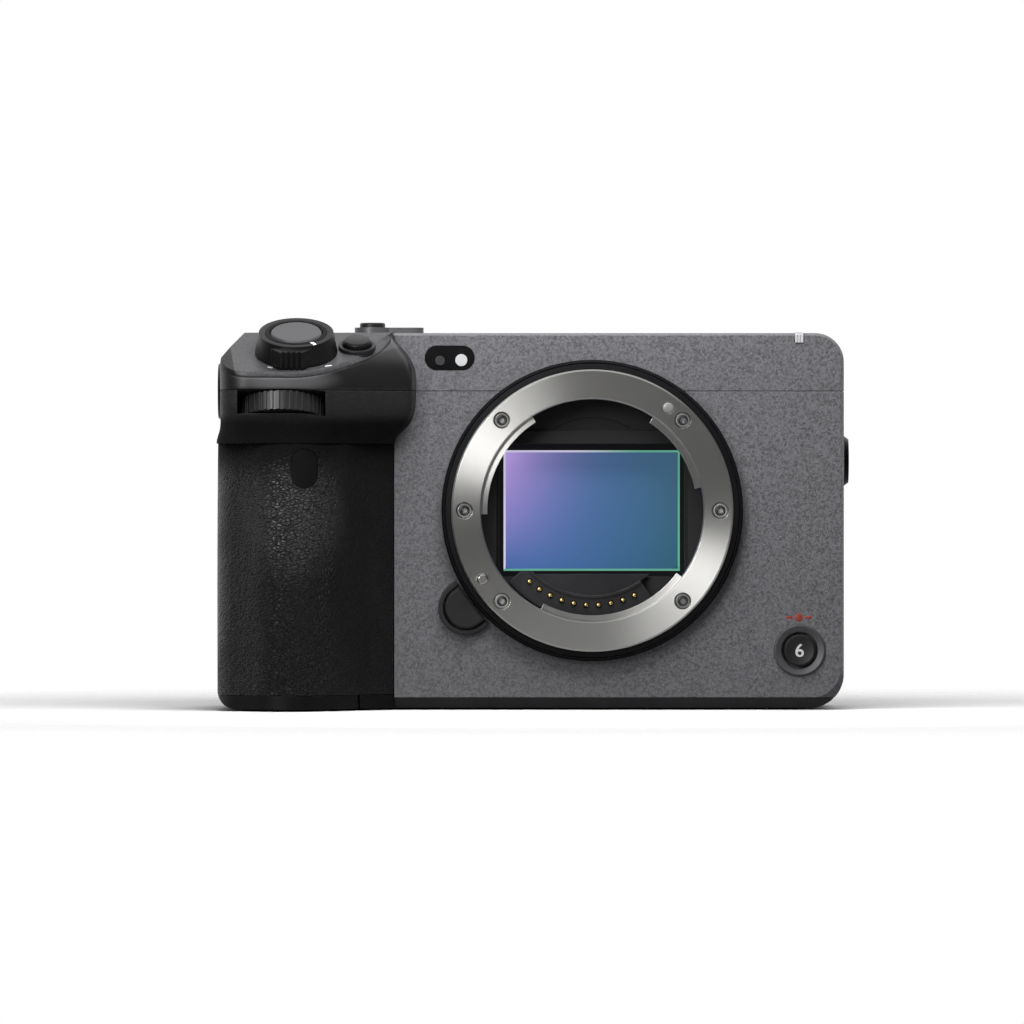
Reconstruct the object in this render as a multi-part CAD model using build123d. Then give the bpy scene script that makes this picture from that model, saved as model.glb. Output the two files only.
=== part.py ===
from build123d import *
import os
from math import cos, pi, radians, sin, tan

# A compact full-frame cinema camera body with no lens fitted.
# Millimetres. The lens faces -Y, +X is to the right of someone facing the lens, +Z is up.
# x = 0 is the optical axis, y = 0 the sensor plane, z = 0 the mouth of the tripod socket.

# The body block behind the grip
BODY_WIDTH = 127.2
AXIS_TO_RIGHT = 52.2
BODY_HEIGHT = 77.7
AXIS_HEIGHT = 40.9
FACE_TO_SENSOR = 14.0
SENSOR_TO_REAR = 39.5
WALL = 1.8
SEAM = 0.12
TOP_COVER_HEIGHT = 12.0
BOTTOM_COVER_HEIGHT = 2.05
CORNER_TOP_RIGHT = 6.0
CORNER_BOTTOM_RIGHT = 7.0
CORNER_BOTTOM_LEFT = 4.0
CORNER_TOP_LEFT = 8.0
FRONT_BEVEL_DEPTH = 1.5
FRONT_BEVEL_SIDE = 0.6
FRONT_BEVEL_TOP = 0.5
REAR_EDGE = 2.5
FRONT_PANEL_WRAP = 3.0

# The handle, the shelf above it and the sloping deck
GRIP_PROUD = 2.45
GRIP_WIDTH = 36.35
GRIP_SEAM_HEIGHT = 2.9
GRIP_BACK = 19.0
HANDLE_NOSE = 22.3
SHELF_DROP = 11.0
SKIN = 1.2
SHELF_NOSE = 22.4
DECK_SLOPE = 24.0
DECK_LIP_DROP = 8.55
DECK_THICKNESS = 1.0
SHOULDER_SIDE_DROP = 5.6
SHOULDER_TOP_DROP = 3.1
SHOULDER_PROUD = 1.6

# The lens mount and what lies behind it
FLANGE_DISTANCE = 18.0
RING_RADIUS = 29.2
THROAT_RADIUS = 23.05
RING_THICKNESS = 3.0
TRIM_WIDTH = 1.9
CLAW_DEPTH = 1.4
CLAW_RADIUS = 21.7
CLAW_RECESS = 1.0
CLAW_ARCS = ((12.0, 57.0), (122.5, 182.0), (242.4, 323.5))
MOUNT_SCREW_CIRCLE = 26.45
MOUNT_SCREW_ANGLES = (0, 45, 135, 180, 225, 315)
MOUNT_SCREW_HEAD = 1.65
LOCK_PIN_CIRCLE = 26.8
LOCK_PIN_ANGLE = 212.0
LOCK_PIN_RADIUS = 1.1
INDEX_CIRCLE = 26.4
INDEX_ANGLE = 53.6
CONTACT_CIRCLE = 19.6
CONTACT_COUNT = 10
CONTACT_FIRST = 228.6
CONTACT_STEP = 7.55
CONTACT_RADIUS = 0.52
CONTACT_BLOCK_INNER = 17.7
CONTACT_BLOCK_ARC = (220.5, 304.5)
CONTACT_TRAVEL = 0.5
SENSOR_WIDTH = 36.7
SENSOR_HEIGHT = 25.1
BLADE_COUNT = 2
BLADE_HEIGHT = 14.6
BLADE_TRAVEL = 28.0

# Controls and fittings
RELEASE_ANGLE = 217.5
RELEASE_CENTRE = 33.0
RELEASE_RADIUS = 4.4
RECORD_X = 42.97
RECORD_Z = 11.95
RECORD_RADIUS = 3.3
DISH_RADIUS = 14.0
DISH_DEPTH = 0.3
TALLY_WIDTH = 1.75
DIAL_RADIUS = 8.8
DIAL_WIDTH = 3.9
DIAL_TILT = 15.0
DIAL_RIBS = 40
DIAL_DROP = 4.3
ZOOM_RADIUS = 8.5
ZOOM_HEIGHT = 4.3
ZOOM_TAB_REACH = 0.9
SHUTTER_BUTTON_RADIUS = 5.3
DECK_BUTTON_RADIUS = 2.9
REAR_DIAL_RADIUS = 9.3
STICK_PIN = 0.4
WHEEL_RADIUS = 13.5
WHEEL_RIBS = 36
SCREW_HOLE = 2.6
SOCKET_DEPTH = 6.5
BATTERY = (22.7, 38.7, 51.7)
DOOR_THICKNESS = 1.6
LATCH_INSET = 2.0
LATCH_WIDTH = 4.0
LATCH_LENGTH = 10.0
LATCH_TRAVEL = 2.0
MONITOR_WIDTH = 69.4
MONITOR_HEIGHT = 52.0
MONITOR_THICKNESS = 6.6
HINGE_RADIUS = 2.8
HINGE_PIN = 1.0
PORT_FRONT = 3.6
PORT_BACK = 21.0
CARD_FRONT = 20.4
CARD_BACK = 37.2
CARD_DOOR_HEIGHT = 33.2
FAN_RADIUS = 16.0
FAN_BLADES = 9
FAN_X = 14.0
FAN_FRONT = 15.0
FAN_BACK = 22.0
BOARD_FRONT = 27.4
BOARD_BACK = 29.0
BASE_PLATE_FRONT = 4.0
BASE_PLATE_BACK = 5.6
SHUTTER_DEPTH = 3.6

# Clearances
FIT = 0.05
GAP = 0.2
CLEAR = 0.3

# Places that follow from the sizes above
RIGHT = AXIS_TO_RIGHT
LEFT = RIGHT - BODY_WIDTH
FACE = -FACE_TO_SENSOR
REAR = SENSOR_TO_REAR
TOP = BODY_HEIGHT
SEAM_Z = BODY_HEIGHT - TOP_COVER_HEIGHT
HANDLE_HEIGHT = SEAM_Z - SHELF_DROP
DECK_LIP_HEIGHT = TOP - DECK_LIP_DROP
SHOULDER_LOW = TOP - SHOULDER_SIDE_DROP
SHOULDER_HIGH = TOP - SHOULDER_TOP_DROP
GRIP_LEFT = LEFT - GRIP_PROUD
GRIP_RIGHT = GRIP_LEFT + GRIP_WIDTH
SHOULDER_LEFT = LEFT - SHOULDER_PROUD
FLANGE = -FLANGE_DISTANCE
RING_BACK = FLANGE + RING_THICKNESS
CHASSIS_FRONT = FACE + WALL
CHASSIS_BACK = CHASSIS_FRONT + 2.6
SLOPE = tan(radians(DECK_SLOPE))
LIP_Y = FACE - SHELF_NOSE + 0.1
CAVITY_TOP = TOP - WALL
CAVITY_RIGHT = RIGHT - WALL
CAVITY_REAR = REAR - WALL
DIAL_X = GRIP_LEFT + 13.55
DIAL_Y = FACE - SHELF_NOSE + DIAL_RADIUS - 1.0
DIAL_Z = SEAM_Z - DIAL_DROP
ZOOM_X = GRIP_LEFT + 16.45
ZOOM_Y = LIP_Y + 9.55
DECK_BUTTON_X = ZOOM_X + ZOOM_RADIUS + 4.0
DECK_BUTTON_Y = LIP_Y + 11.6
SHUTTER_FRONT = CHASSIS_BACK + CLEAR
SHUTTER_BACK = SHUTTER_FRONT + SHUTTER_DEPTH
HINGE_X = RIGHT - 3.6
HINGE_Y = REAR + 3.5
ARM_LOW = AXIS_HEIGHT - 22.0
ARM_HIGH = AXIS_HEIGHT + 16.0
CARD_LOW = AXIS_HEIGHT - 13.4
TALLY_X = RIGHT - 9.3
STICK_PIVOT_Y = REAR - 2.45


def block(x0, x1, y0, y1, z0, z1):
    """A box between two corners."""
    middle = Pos((x0 + x1) / 2, (y0 + y1) / 2, (z0 + z1) / 2)
    return middle * Box(x1 - x0, y1 - y0, z1 - z0)


def facing_front(y):
    """The plane at depth y on which x runs right and z runs up."""
    return Plane(origin=(0, y, 0), x_dir=(1, 0, 0), z_dir=(0, -1, 0))


def slab(profile, y0, y1):
    """An x-z profile given a depth from y0 at the front to y1 at the back."""
    return extrude(facing_front(y1) * profile, y1 - y0)


def bar_y(x, z, radius, y0, y1):
    """A round bar that runs front to back."""
    return slab(Pos(x, z) * Circle(radius), y0, y1)


def bar_x(y, z, radius, x0, x1):
    """A round bar that runs left to right."""
    plane = Plane(origin=(x0, y, z), x_dir=(0, 1, 0), z_dir=(1, 0, 0))
    return extrude(plane * Circle(radius), x1 - x0)


def bar_z(x, y, radius, z0, z1):
    """A round bar that stands upright."""
    return extrude(Plane.XY.offset(z0) * Pos(x, y) * Circle(radius), z1 - z0)


def plate_z(profile, z0, z1):
    """An x-y profile given a height."""
    return extrude(Plane.XY.offset(z0) * profile, z1 - z0)


def tube_y(x, z, outer, inner, y0, y1):
    """A round tube that runs front to back."""
    return slab(Pos(x, z) * (Circle(outer) - Circle(inner)), y0, y1)


def group(pieces):
    """Separate solids that share one node."""
    return Compound(children=list(pieces))


def around_axis(radius, angle):
    """The x and z of a point about the lens axis, with the angle in degrees from +X."""
    turn = radians(angle)
    return radius * cos(turn), AXIS_HEIGHT + radius * sin(turn)


def sector(inner, outer, start, end):
    """A piece of a flat ring about the lens axis."""
    outside = CenterArc((0, 0), outer, start, end - start)
    inside = CenterArc((0, 0), inner, start, end - start)
    ends = [Line(inside @ 0, outside @ 0), Line(inside @ 1, outside @ 1)]
    return Pos(0, AXIS_HEIGHT) * make_face([outside, inside] + ends)


def turned(points, x=0.0, z=AXIS_HEIGHT):
    """A solid turned about a front-to-back axis from points of (radius, depth)."""
    outline = Polyline(*[(radius, depth, 0) for radius, depth in points], close=True)
    solid = revolve(make_face(outline), axis=Axis.Y)
    return Pos(x, 0, z) * solid


def deck_height(y):
    """The height of the sloping deck at a depth."""
    return DECK_LIP_HEIGHT + SLOPE * (y - LIP_Y)


def deck_plane(x, y, above=0.0):
    """A plane on the deck with its normal square to the deck and local y up the slope."""
    tilt = radians(DECK_SLOPE)
    normal = Vector(0, -sin(tilt), cos(tilt))
    origin = Vector(x, y, deck_height(y)) + normal * above
    return Plane(origin=origin, x_dir=(1, 0, 0), z_dir=normal)


def on_deck(x, y, profile, low, high):
    """A profile that stands square to the deck between two heights above it."""
    return extrude(deck_plane(x, y, low) * profile, high - low)


def body_profile(side=0.0, bottom=0.0, top=0.0):
    """The body's outline seen from the front, drawn in by the given amounts."""
    corners = [
        (LEFT + side, bottom),
        (RIGHT - side, bottom),
        (RIGHT - side, TOP - top),
        (LEFT + side, TOP - top),
    ]
    radii = [
        CORNER_BOTTOM_LEFT - side,
        CORNER_BOTTOM_RIGHT - side,
        CORNER_TOP_RIGHT - side,
        CORNER_TOP_LEFT - side,
    ]
    return make_face(FilletPolyline(*corners, radius=radii, close=True))


def body_block():
    """The block with a bevelled front edge, rounded rear edges and the grip's shoulder."""
    start = FACE + FRONT_BEVEL_DEPTH
    main = slab(body_profile(), start, REAR)
    main = fillet(main.faces().sort_by(Axis.Y)[-1].edges(), REAR_EDGE)
    full = facing_front(start) * body_profile()
    small = body_profile(FRONT_BEVEL_SIDE, BOTTOM_COVER_HEIGHT, FRONT_BEVEL_TOP)
    front = loft([full, facing_front(FACE) * small], ruled=True)
    return main + front + shoulder()


def shoulder():
    """The cheek that carries the grip's side back along the body, chamfered on top."""
    outline = Polyline(
        (GRIP_LEFT, HANDLE_HEIGHT - 8),
        (GRIP_LEFT, HANDLE_HEIGHT),
        (SHOULDER_LEFT, HANDLE_HEIGHT + 2.5),
        (SHOULDER_LEFT, SHOULDER_LOW),
        (LEFT + 0.3, SHOULDER_HIGH),
        (LEFT + 5, SHOULDER_HIGH),
        (LEFT + 5, HANDLE_HEIGHT - 8),
        close=True,
    )
    cheek = slab(make_face(outline), FACE, GRIP_BACK)
    taper = Polyline(
        (GRIP_LEFT - 1, GRIP_BACK - 11),
        (LEFT, GRIP_BACK - 3),
        (LEFT, GRIP_BACK + 1),
        (GRIP_LEFT - 1, GRIP_BACK + 1),
        close=True,
    )
    return cheek - plate_z(make_face(taper), 0, TOP + 5)


def handle_outline(nose, crease, inset):
    """The handle's plan at one height: hollow flank, crease, nose and rounded side."""
    front = FACE - nose
    corners = [
        (GRIP_RIGHT + 3.1, FACE + 3.1),
        (GRIP_RIGHT - 5.2, FACE - 5.2),
        (crease, front + 6.3),
        (GRIP_LEFT + 18.0, front),
        (GRIP_LEFT + 11.0, front),
        (GRIP_LEFT, front + 11.0),
        (GRIP_LEFT, GRIP_BACK - 11),
        (LEFT, GRIP_BACK - 3),
        (LEFT, GRIP_BACK + 2),
        (GRIP_RIGHT + 3.1, GRIP_BACK + 2),
    ]
    radii = [0, 14, 5, 8, 8, 12, 0, 0, 0, 0]
    plan = make_face(FilletPolyline(*corners, radius=radii, close=True))
    return offset(plan, -inset) if inset else plan


def handle(inset=0.0):
    """The lofted handle, fullest a third of the way up and drawn in under the shelf."""
    levels = [
        (0.0, HANDLE_NOSE - 1.3, 24.3),
        (0.32 * HANDLE_HEIGHT, HANDLE_NOSE, 24.2),
        (0.65 * HANDLE_HEIGHT, HANDLE_NOSE - 0.5, 24.5),
        (0.88 * HANDLE_HEIGHT, HANDLE_NOSE - 3.0, 26.0),
        (HANDLE_HEIGHT, HANDLE_NOSE - 5.2, 27.2),
    ]
    sections = []
    for height, nose, crease in levels:
        outline = handle_outline(nose, GRIP_LEFT + crease, inset)
        sections.append(Plane.XY.offset(height) * outline)
    solid = loft(sections)
    return solid & slab(grip_silhouette(), FACE - 40, GRIP_BACK)


def grip_silhouette():
    """The grip's outline from the front, with its rounded lower corner."""
    corners = [(GRIP_LEFT - 0.01, 0), (GRIP_RIGHT, 0), (GRIP_RIGHT, TOP), (GRIP_LEFT - 0.01, TOP)]
    return make_face(FilletPolyline(*corners, radius=[CORNER_BOTTOM_LEFT, 0, 0, 0], close=True))


def shelf_outline(nose, right, left):
    """The plan of the shelf that overhangs the handle, at one height."""
    front = FACE - nose
    corners = [
        (right, FACE),
        (right - 0.8, front + 13.2),
        (GRIP_RIGHT - 17.0, front),
        (left, front + 0.4),
        (left, FACE),
    ]
    return make_face(FilletPolyline(*corners, radius=[0, 3.0, 14.0, 6.0, 0], close=True))


def shelf():
    """The lofted shelf that swells out of the handle, before the deck's slope is cut."""
    levels = [
        (HANDLE_HEIGHT, SHELF_NOSE - 5.0, GRIP_RIGHT + 0.15, GRIP_LEFT),
        (HANDLE_HEIGHT + 1.6, SHELF_NOSE - 4.2, GRIP_RIGHT + 0.8, GRIP_LEFT + 0.3),
        (HANDLE_HEIGHT + 3.9, SHELF_NOSE - 2.2, GRIP_RIGHT + 3.0, SHOULDER_LEFT),
        (HANDLE_HEIGHT + 6.6, SHELF_NOSE - 0.5, GRIP_RIGHT + 4.3, SHOULDER_LEFT),
        (SEAM_Z - 1.2, SHELF_NOSE, GRIP_RIGHT + 4.65, SHOULDER_LEFT),
        (SEAM_Z + 1.8, SHELF_NOSE, GRIP_RIGHT + 4.7, SHOULDER_LEFT),
        (SEAM_Z + 5.3, SHELF_NOSE - 0.5, GRIP_RIGHT + 4.1, SHOULDER_LEFT),
        (TOP, SHELF_NOSE - 2.0, GRIP_RIGHT + 0.4, SHOULDER_LEFT),
    ]
    sections = []
    for height, nose, right, left in levels:
        sections.append(Plane.XY.offset(height) * shelf_outline(nose, right, left))
    chamfer_top = Polyline(
        (SHOULDER_LEFT - 2, SHOULDER_LOW - 2.63),
        (LEFT + 0.3, SHOULDER_HIGH),
        (LEFT + 4, TOP + 1),
        (SHOULDER_LEFT - 2, TOP + 1),
        close=True,
    )
    return loft(sections) - slab(make_face(chamfer_top), FACE - 40, FACE + 1)


def above_deck(depth):
    """The space over the deck's slope, reaching a depth below it, square to it."""
    return on_deck(GRIP_LEFT + 20, LIP_Y, Rectangle(120, 120), -depth, 40)


def cavity():
    """The room inside the covers."""
    room = slab(body_profile(WALL, BOTTOM_COVER_HEIGHT, WALL), CHASSIS_FRONT, CAVITY_REAR)
    return room - block(LEFT - 1, GRIP_RIGHT, FACE, REAR, 0, TOP) - shoe_tub()


def shoe_tub():
    """The thick floor under the accessory shoe."""
    return block(-15, 15, 6, REAR, TOP - 6.4, TOP)


def battery_box(grow=0.0):
    """The battery's space in the handle, with rounded upright corners."""
    wide, deep, tall = BATTERY
    x = GRIP_LEFT + 4.4 + wide / 2
    y = FACE - 7.4 + deep / 2
    profile = Pos(x, y) * RectangleRounded(wide + 2 * grow, deep + 2 * grow, 2.0)
    return plate_z(profile, GRIP_SEAM_HEIGHT - grow, GRIP_SEAM_HEIGHT + tall + grow)


def trim_opening(clearance):
    """The round hole in the covers that the lens mount passes through."""
    return bar_y(0, AXIS_HEIGHT, RING_RADIUS + clearance, FACE - 5, CHASSIS_FRONT + 0.01)


def release_profile(radius, clearance=0.0):
    """The D-shaped outline of the lens release, flat against the trim ring."""
    flat = RING_RADIUS + TRIM_WIDTH + 0.35
    turn = Pos(0, AXIS_HEIGHT) * Rot(0, 0, RELEASE_ANGLE)
    half = radius + clearance
    straight = Pos((flat + RELEASE_CENTRE) / 2, 0) * Rectangle(RELEASE_CENTRE - flat, 2 * half)
    end = Pos(RELEASE_CENTRE, 0) * Circle(half)
    end &= Pos(flat + half, 0) * Rectangle(2 * half, 2 * half)
    return turn * (straight + end)


def rear_button_places():
    """The x and z of the two small buttons beside the monitor."""
    return [
        (GRIP_RIGHT + 4.5, AXIS_HEIGHT - 0.5),
        (GRIP_RIGHT + 4.5, AXIS_HEIGHT - 29.0),
    ]


def wheel_place():
    """The x and z of the control wheel."""
    return GRIP_LEFT + 22.0, AXIS_HEIGHT - 16.0


def joystick_place():
    """The x and z of the joystick."""
    return GRIP_RIGHT + 2.0, AXIS_HEIGHT + 15.5


def front_panel():
    """The painted front plate, with holes for the mount, the release and the button."""
    piece = block_outer & block(GRIP_RIGHT + SEAM, RIGHT + 1, FACE - 1, FACE + FRONT_PANEL_WRAP,
                                BOTTOM_COVER_HEIGHT + SEAM, SEAM_Z - SEAM)
    piece -= cavity_space
    piece -= trim_opening(GAP)
    piece -= slab(release_profile(RELEASE_RADIUS, 1.25), FACE - 1, CHASSIS_FRONT + 1)
    piece -= bar_y(RECORD_X, RECORD_Z, RECORD_RADIUS + 0.45, FACE - 1, FACE + 4)
    return piece


def top_holes():
    """Everything that is let into the top cover."""
    holes = trim_opening(GAP)
    holes += block(-13.2, 13.2, 8.0, REAR + 1, TOP - 4.5, TOP + 1)
    for x, y in thread_places():
        holes += bar_z(x, y, 4.2, TOP - WALL - 1, TOP + 1)
    lever_x, lever_y = power_place()
    holes += bar_z(lever_x, lever_y, 2.0 + GAP, TOP - WALL - 1, TOP + 1)
    holes += rear_dial_pocket()
    holes += slab(window_profile(GAP / 2), FACE - 1, FACE + 1.2)
    holes += tally_slot()
    return holes


def top_cover():
    """The upper cover, hollow over the works and solid over the grip."""
    piece = block_outer & block(LEFT - 5, RIGHT + 1, FACE - 1, REAR + 1, SEAM_Z, TOP + 1)
    return piece - cavity_space - top_holes() - side_boss_holes() + rear_dial_pin()


def side_vent():
    """The row of slots that lets the fan's air out of the side."""
    slots = []
    count = 10
    pitch = 3.6
    low = AXIS_HEIGHT - pitch * (count - 1) / 2
    for index in range(count):
        z = low + index * pitch
        slots.append(block(CAVITY_RIGHT - 1, RIGHT + 1, 26, 35, z - 0.9, z + 0.9))
    return group(slots)


def rear_cover():
    """The back, with the thumb rest, the vent and seats for the rear controls."""
    low = BOTTOM_COVER_HEIGHT + SEAM
    high = SEAM_Z - SEAM
    piece = block_outer & block(LEFT - 5, RIGHT + 1, GRIP_BACK + SEAM, REAR + 1, low, high)
    piece += block_outer & block(GRIP_RIGHT, RIGHT + 1, FACE + FRONT_PANEL_WRAP + SEAM,
                                 GRIP_BACK + 1, low, high)
    piece += thumb_rest()
    piece -= cavity_space
    for span_low, span_high in port_door_spans():
        piece -= block(CAVITY_RIGHT - 1, RIGHT + 1, PORT_FRONT - GAP, PORT_BACK + GAP,
                       span_low - GAP, span_high + GAP)
    piece -= side_boss_holes()
    piece -= side_vent()
    piece -= card_bay()
    piece -= rear_dial_pocket()
    piece -= card_door_opening()
    piece += board_posts()
    wheel_x, wheel_z = wheel_place()
    piece -= bar_y(wheel_x, wheel_z, WHEEL_RADIUS + CLEAR, REAR - 1.4, REAR + 12)
    piece -= bar_y(wheel_x, wheel_z, 3.0 + GAP, REAR - 3.4, REAR)
    piece += joystick_seat()
    stick_x, stick_z = joystick_place()
    piece -= bar_y(stick_x, stick_z, 4.6, REAR - 3.6, REAR + 12)
    piece -= bar_x(STICK_PIVOT_Y, stick_z, STICK_PIN + FIT, stick_x - 5.6, stick_x + 5.6)
    for x, z in rear_button_places():
        piece -= bar_y(x, z, 2.9 + GAP, REAR - 1.5, REAR + 12)
    return piece


def joystick_seat():
    """The ring inside the back that the joystick's gimbal is hung in."""
    x, z = joystick_place()
    return tube_y(x, z, 6.4, 4.4, REAR - 3.6, CAVITY_REAR + 0.2)


def thumb_rest():
    """The raised pad for the thumb at the upper corner of the back."""
    width = 23.0
    height = 21.0
    proud = 5.6
    x = GRIP_LEFT + 19.0
    z = SEAM_Z - 1.5 - height / 2
    foot = Pos(x, z) * RectangleRounded(width, height, 6.0)
    crown = Pos(x - 1.5, z + 1.0) * RectangleRounded(width - 9, height - 8, 4.5)
    return loft([facing_front(REAR - 1) * foot, facing_front(REAR + proud) * crown])


def card_bay():
    """The hollow behind the card door."""
    return block(LEFT - 1, LEFT + 33, CARD_FRONT + 0.8, CARD_BACK - 1.0,
                 CARD_LOW + 1.4, CARD_LOW + CARD_DOOR_HEIGHT - 1.6)


def card_door_opening():
    """The rebate that the card door closes into."""
    return block(LEFT - 1, LEFT + DOOR_THICKNESS + 0.4, CARD_FRONT - GAP, CARD_BACK + GAP,
                 CARD_LOW - GAP, CARD_LOW + CARD_DOOR_HEIGHT + GAP)


def board_posts():
    """Posts inside the back that the main board is screwed to."""
    posts = []
    for x in (GRIP_RIGHT + 8, CAVITY_RIGHT - 6):
        for z in (8.0, SEAM_Z - 5):
            posts.append(bar_y(x, z, 2.2, 29.0, CAVITY_REAR + 0.5))
    return group(posts)


def port_door_spans():
    """The lower and upper ends of the two port doors."""
    return [(AXIS_HEIGHT - 31.0, AXIS_HEIGHT - 6.2), (AXIS_HEIGHT - 4.4, AXIS_HEIGHT + 20.4)]


def bottom_cover():
    """The base, deeper under the grip, open for the battery door and the socket."""
    base = block_outer & block(GRIP_RIGHT, RIGHT + 1, FACE - 1, REAR + 1, 0, BOTTOM_COVER_HEIGHT)
    under = (block_outer + handle_outer) & block(
        GRIP_LEFT - 1, GRIP_RIGHT, FACE - 40, REAR + 1, 0, GRIP_SEAM_HEIGHT - SEAM)
    under -= block(LEFT - 5, GRIP_RIGHT, GRIP_BACK, REAR + 1, BOTTOM_COVER_HEIGHT, TOP)
    piece = base + under
    piece -= battery_door_opening()
    piece -= bar_z(0, 0, 5.6, -1, BOTTOM_COVER_HEIGHT + 1)
    for x, y in bottom_screw_places():
        piece -= bar_z(x, y, 1.7 + FIT, -1, 1.1)
    return piece


def battery_door_span():
    """The battery door's left, right, front and back edges."""
    wide, deep, _ = BATTERY
    left = GRIP_LEFT + 3.6
    front = FACE - 8.0
    return left, left + wide + 3.0, front, front + deep + 1.6


def battery_door_opening():
    """The hole in the base that the battery door closes."""
    left, right, front, back = battery_door_span()
    return block(left - GAP, right + GAP, front - GAP, back + GAP, -1, GRIP_SEAM_HEIGHT + 1)


def grip_shell():
    """The handle's moulded core, with the battery bay, and the side of the body behind it."""
    front = handle_core & block(GRIP_LEFT - 1, GRIP_RIGHT, FACE - 40, FACE,
                                GRIP_SEAM_HEIGHT, HANDLE_HEIGHT - SEAM)
    back = (block_outer + handle_outer) & block(
        GRIP_LEFT - 1, GRIP_RIGHT, FACE, GRIP_BACK, GRIP_SEAM_HEIGHT, SEAM_Z - SEAM)
    piece = front + back - skin_space() - battery_box(CLEAR) - side_boss_holes()
    return piece - slab(grip_window_profile(GAP / 2), FACE - 40, FACE - 12)


def skin_space():
    """The layer round the handle that the rubber fills."""
    zone = block(GRIP_LEFT - 1, GRIP_RIGHT, FACE - 40, GRIP_BACK - 12,
                 GRIP_SEAM_HEIGHT, HANDLE_HEIGHT - SEAM)
    return (handle_outer - handle_core) & zone


def grip_skin():
    """The grained rubber moulded round the handle."""
    return skin_space() - slab(grip_window_profile(GAP / 2), FACE - 40, FACE - 12)


def grip_window_profile(grow=0.0):
    """The upright oval of the infrared window on the handle."""
    turn = Rot(0, 0, 90)
    place = Pos(GRIP_LEFT + 18.25, HANDLE_HEIGHT - 5.2)
    return place * turn * SlotOverall(8.0 + 2 * grow, 5.3 + 2 * grow)


def window_profile(grow=0.0):
    """The lying oval of the sensor window on the top cover's front."""
    return Pos(-29.5, TOP - 5.2) * SlotOverall(10.15 + 2 * grow, 4.9 + 2 * grow)


def front_windows():
    """The two smoked windows: one on the front and one in the handle."""
    lens = slab(window_profile(), FACE - 0.15, FACE + 1.0)
    seat = slab(grip_window_profile(), FACE - 40, FACE - 14)
    infrared = handle(0.12) & seat
    return group([lens, infrared])


def lamp_lenses():
    """The tally light guide, and the diffuser and lamp lens on the front window."""
    z = TOP - 5.65
    white = bar_y(-27.1, z, 1.25, FACE - 0.4, FACE - 0.15)
    lamp = bar_y(-31.5, z - 0.1, 1.0, FACE - 0.35, FACE - 0.15)
    return group([tally_guide(), white, lamp])


def tally_slot():
    """The slot for the light guide, over the top front edge."""
    half = TALLY_WIDTH / 2 + GAP / 2
    front = block(TALLY_X - half, TALLY_X + half, FACE - 1, FACE + 1.4, TOP - 2 - GAP / 2, TOP)
    top = block(TALLY_X - half, TALLY_X + half, FACE, FACE + 7, TOP - 1.4 - GAP / 2, TOP + 1)
    return front + top


def tally_guide():
    """The light guide itself, a little proud of the front and of the top."""
    half = TALLY_WIDTH / 2
    front = block(TALLY_X - half, TALLY_X + half, FACE - 0.3, FACE + 1.4, TOP - 2, TOP - 0.3)
    for x in (TALLY_X - half / 3, TALLY_X + half / 3):
        front -= block(x - 0.12, x + 0.12, FACE - 1, FACE - 0.1, TOP - 3, TOP)
    top = block(TALLY_X - half, TALLY_X + half, FACE, FACE + 7, TOP - 1.4, TOP + 0.15)
    return front + top


def dial_plane(offset):
    """A plane across the front dial's axis, which leans back."""
    tilt = radians(DIAL_TILT)
    normal = Vector(0, sin(tilt), cos(tilt))
    origin = Vector(DIAL_X, DIAL_Y, DIAL_Z) + normal * offset
    return Plane(origin=origin, x_dir=(1, 0, 0), z_dir=normal)


def dial_pocket():
    """The space that the front dial turns in, and its mouth."""
    half = DIAL_WIDTH / 2 + 0.35
    room = extrude(dial_plane(-half) * Circle(DIAL_RADIUS + 0.4), 2 * half)
    mouth = Pos(0, -12) * Rectangle(2 * DIAL_RADIUS + 0.5, 24)
    return room + extrude(dial_plane(-half) * mouth, 2 * half)


def shelf_piece(low, high):
    """A level of the shelf, under the deck, with the dial's pocket."""
    piece = shelf_outer - above_deck(DECK_THICKNESS)
    piece &= block(GRIP_LEFT - 1, RIGHT, FACE - 40, FACE, low, high)
    return piece - dial_pocket() - deck_holes()


def deck_holes():
    """The wells under the zoom lever's hub and the deck button."""
    hub = on_deck(ZOOM_X, ZOOM_Y, Circle(3.0 + GAP), -3.2, 3)
    stem = on_deck(ZOOM_X, ZOOM_Y, Circle(1.5 + GAP), -4.4, 3)
    well = on_deck(DECK_BUTTON_X, DECK_BUTTON_Y, Circle(DECK_BUTTON_RADIUS + GAP), -2.4, 3)
    return hub + stem + well


def grip_front_rest():
    """The rubber shelf over the middle finger, with the dial's slot and pin."""
    top = SEAM_Z - SEAM
    pin = front_dial_pin() & block(LEFT - 5, RIGHT, FACE - 40, FACE, 0, top)
    return shelf_piece(HANDLE_HEIGHT, top) + pin


def grip_top_housing():
    """The smooth housing between the shelf and the deck."""
    return shelf_piece(SEAM_Z, TOP + 1)


def grip_control_deck():
    """The sloping painted deck, with the raised ring of its button."""
    piece = (shelf_outer & above_deck(DECK_THICKNESS)) - above_deck(0)
    piece &= block(GRIP_LEFT - 1, RIGHT, FACE - 40, FACE, SEAM_Z, TOP + 1)
    ring = Circle(DECK_BUTTON_RADIUS + 0.9) - Circle(DECK_BUTTON_RADIUS + GAP)
    piece += on_deck(DECK_BUTTON_X, DECK_BUTTON_Y, ring, -0.2, 0.8)
    return piece - deck_holes()


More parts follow.
